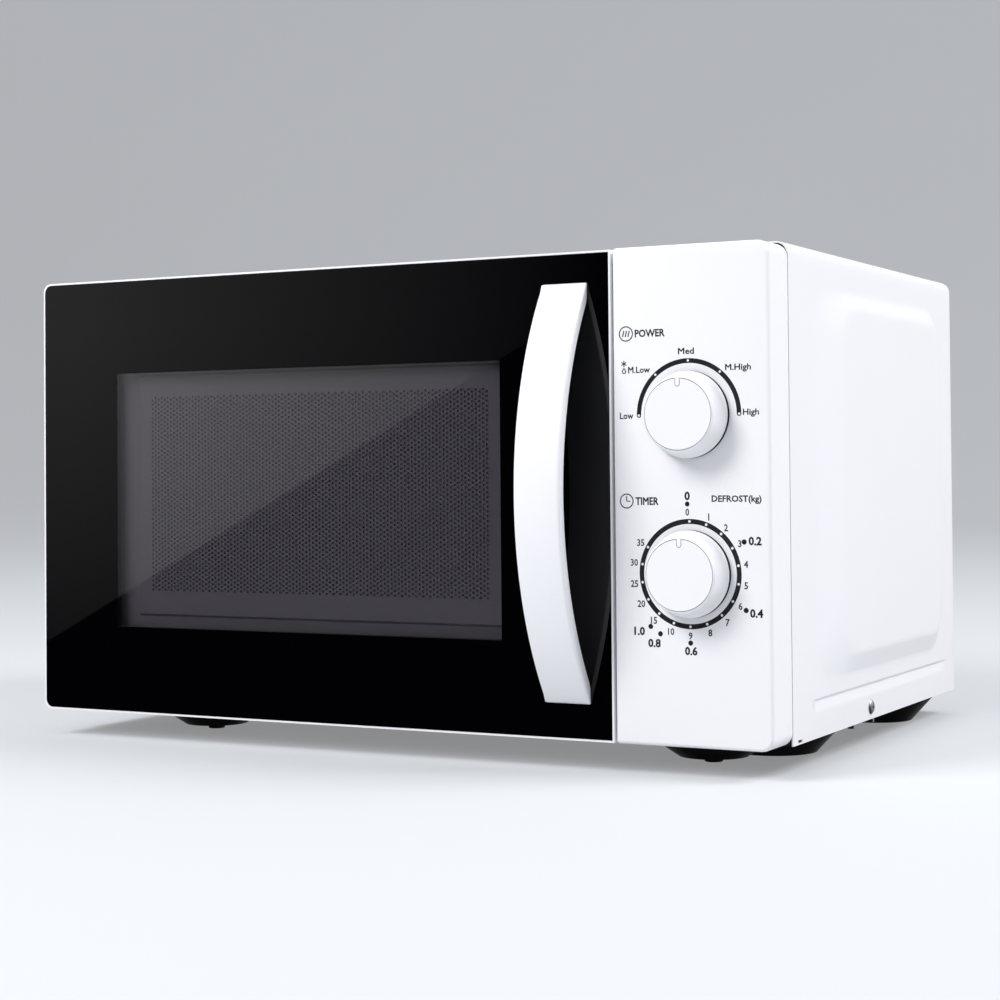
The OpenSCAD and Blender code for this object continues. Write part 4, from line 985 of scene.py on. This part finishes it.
def flat(name, corners, material):
    """A flat sheet that belongs to the studio."""
    mesh = bpy.data.meshes.new(name)
    mesh.from_pydata(corners, [], [list(range(len(corners)))])
    piece = show(name, mesh)
    piece.data.materials.append(material)
    return piece


def glow(name, colour, strength, fade_x, fade_z):
    """A card's light, which falls from its strength to nothing along x and along z, in metres."""
    material = bpy.data.materials.new(name)
    tree = emptied(material)
    place = add(tree, "ShaderNodeSeparateXYZ", inputs={0: add(tree, "ShaderNodeTexCoord").outputs["Object"]})
    across = add(tree, "ShaderNodeMapRange",
                 inputs={"Value": place.outputs[0], "From Min": fade_x[0], "From Max": fade_x[1],
                         "To Min": strength, "To Max": 0.0})
    upright = add(tree, "ShaderNodeMapRange",
                  inputs={"Value": place.outputs[2], "From Min": fade_z[0], "From Max": fade_z[1],
                          "To Min": 1.0, "To Max": 0.0})
    level = add(tree, "ShaderNodeMath", TIMES, {0: across, 1: upright})
    lamp = add(tree, "ShaderNodeEmission", inputs={"Color": linear(colour), "Strength": level})
    add(tree, "ShaderNodeOutputMaterial", inputs={"Surface": lamp})
    return material


def softbox(name, place, target, size, power, glossy=True):
    """A rectangular soft light at a place, turned to a target."""
    data = bpy.data.lights.new(name, "AREA")
    data.shape = "RECTANGLE"
    data.size, data.size_y = size
    data.energy = power
    lamp = show(name, data)
    lamp.location = place
    lamp.rotation_euler = (Vector(target) - Vector(place)).to_track_quat("-Z", "Y").to_euler()
    lamp.visible_glossy = glossy


def studio():
    """The sweep, the soft sky, three softboxes and the card that the glass mirrors."""
    # matt painted sweep: a floor that curves up into a wall far behind
    paint = surface("pale_matt_floor_paint", "adb1b4", {"IOR": 1.45, "Emission Color": linear("f4f5f8"),
                    "Emission Strength": 0.28}, "aaaeb1", 900, (0.8, 0.9), 3.0, 0.02)
    line = [(-30.0, 0.0), (3.5, 0.0)] + [(3.5 + 2.5 * math.sin(t), 2.5 - 2.5 * math.cos(t))
            for t in [math.radians(7.5 * k) for k in range(1, 13)]] + [(6.0, 9.0)]
    mesh = bpy.data.meshes.new("sweep")
    mesh.from_pydata([(x, y, z) for y, z in line for x in (-30, 30)], [],
                     [[2 * i, 2 * i + 1, 2 * i + 3, 2 * i + 2] for i in range(len(line) - 1)])
    sweep = smooth(show("sweep", mesh), 60)
    sweep.data.materials.append(paint)
    sweep.visible_glossy = False
    world = bpy.data.worlds.new("studio")
    tree = emptied(world)
    parts = add(tree, "ShaderNodeSeparateXYZ",
                inputs={0: add(tree, "ShaderNodeTexCoord").outputs["Generated"]})
    height = parts.outputs[2]
    soft = add(tree, "ShaderNodeMapRange",
               inputs={"Value": height, "From Min": -0.1, "From Max": 0.9, "To Min": 0.28, "To Max": 0.5})
    mirror = add(tree, "ShaderNodeMapRange",
                 inputs={"Value": height, "From Min": 0.25, "From Max": 0.6, "To Min": 0.0, "To Max": 0.8})
    # the black glass mirrors a dark room in front, and the steel behind mirrors a pale one
    behind = add(tree, "ShaderNodeMapRange",
                 inputs={"Value": parts.outputs[1], "From Min": 0.1, "From Max": 0.4, "To Min": 0.0,
                         "To Max": 0.55})
    above = add(tree, "ShaderNodeMapRange",
                inputs={"Value": height, "From Min": -0.6, "From Max": -0.3, "To Min": 0.0, "To Max": 1.0})
    pale = add(tree, "ShaderNodeMath", TIMES, {0: behind, 1: above})
    seen = add(tree, "ShaderNodeMath", {"operation": "MAXIMUM"}, {0: mirror, 1: pale})
    path = add(tree, "ShaderNodeLightPath")
    level = add(tree, "ShaderNodeMix", {"data_type": "FLOAT"},
                {0: path.outputs["Is Glossy Ray"], 2: soft, 3: seen})
    sky = add(tree, "ShaderNodeBackground", inputs={"Color": linear("f6f6fa"), "Strength": level})
    add(tree, "ShaderNodeOutputWorld", inputs={"Surface": sky})
    bpy.context.scene.world = world
    softbox("front_left", (-0.75, -1.45, 1.55), (-0.05, 0, 0.13), (0.9, 0.9), 37, glossy=False)
    softbox("right", (1.9, 0.45, 2.1), (0.2, 0.1, 0.12), (1.2, 1.2), 55)
    softbox("overhead", (0.1, -0.2, 1.9), (0, 0, 0.1), (1.6, 1.6), 6)
    # a dim card in front of the oven, whose slanting edge shows in the black glass
    card_y = -1.5
    eye = Vector((EYE.x, 2 * FRONT - EYE.y, EYE.z))

    def reflected(x, z):
        seen = at(x, 0, z)
        return eye + (seen - eye) * ((card_y - eye.y) / (seen.y - eye.y))

    edge = [reflected(-216.2, 38.5), reflected(133.7, 219.5)]
    far = [reflected(135, 330), reflected(-330, 330), reflected(-330, -20)]
    card = flat("card", edge + far, glow("dim_card", "e9e6e8", 0.52, (-1.32, -0.5), (0.345, -0.24)))
    card.visible_camera = False
    card.visible_diffuse = False
    card.visible_shadow = False


studio()
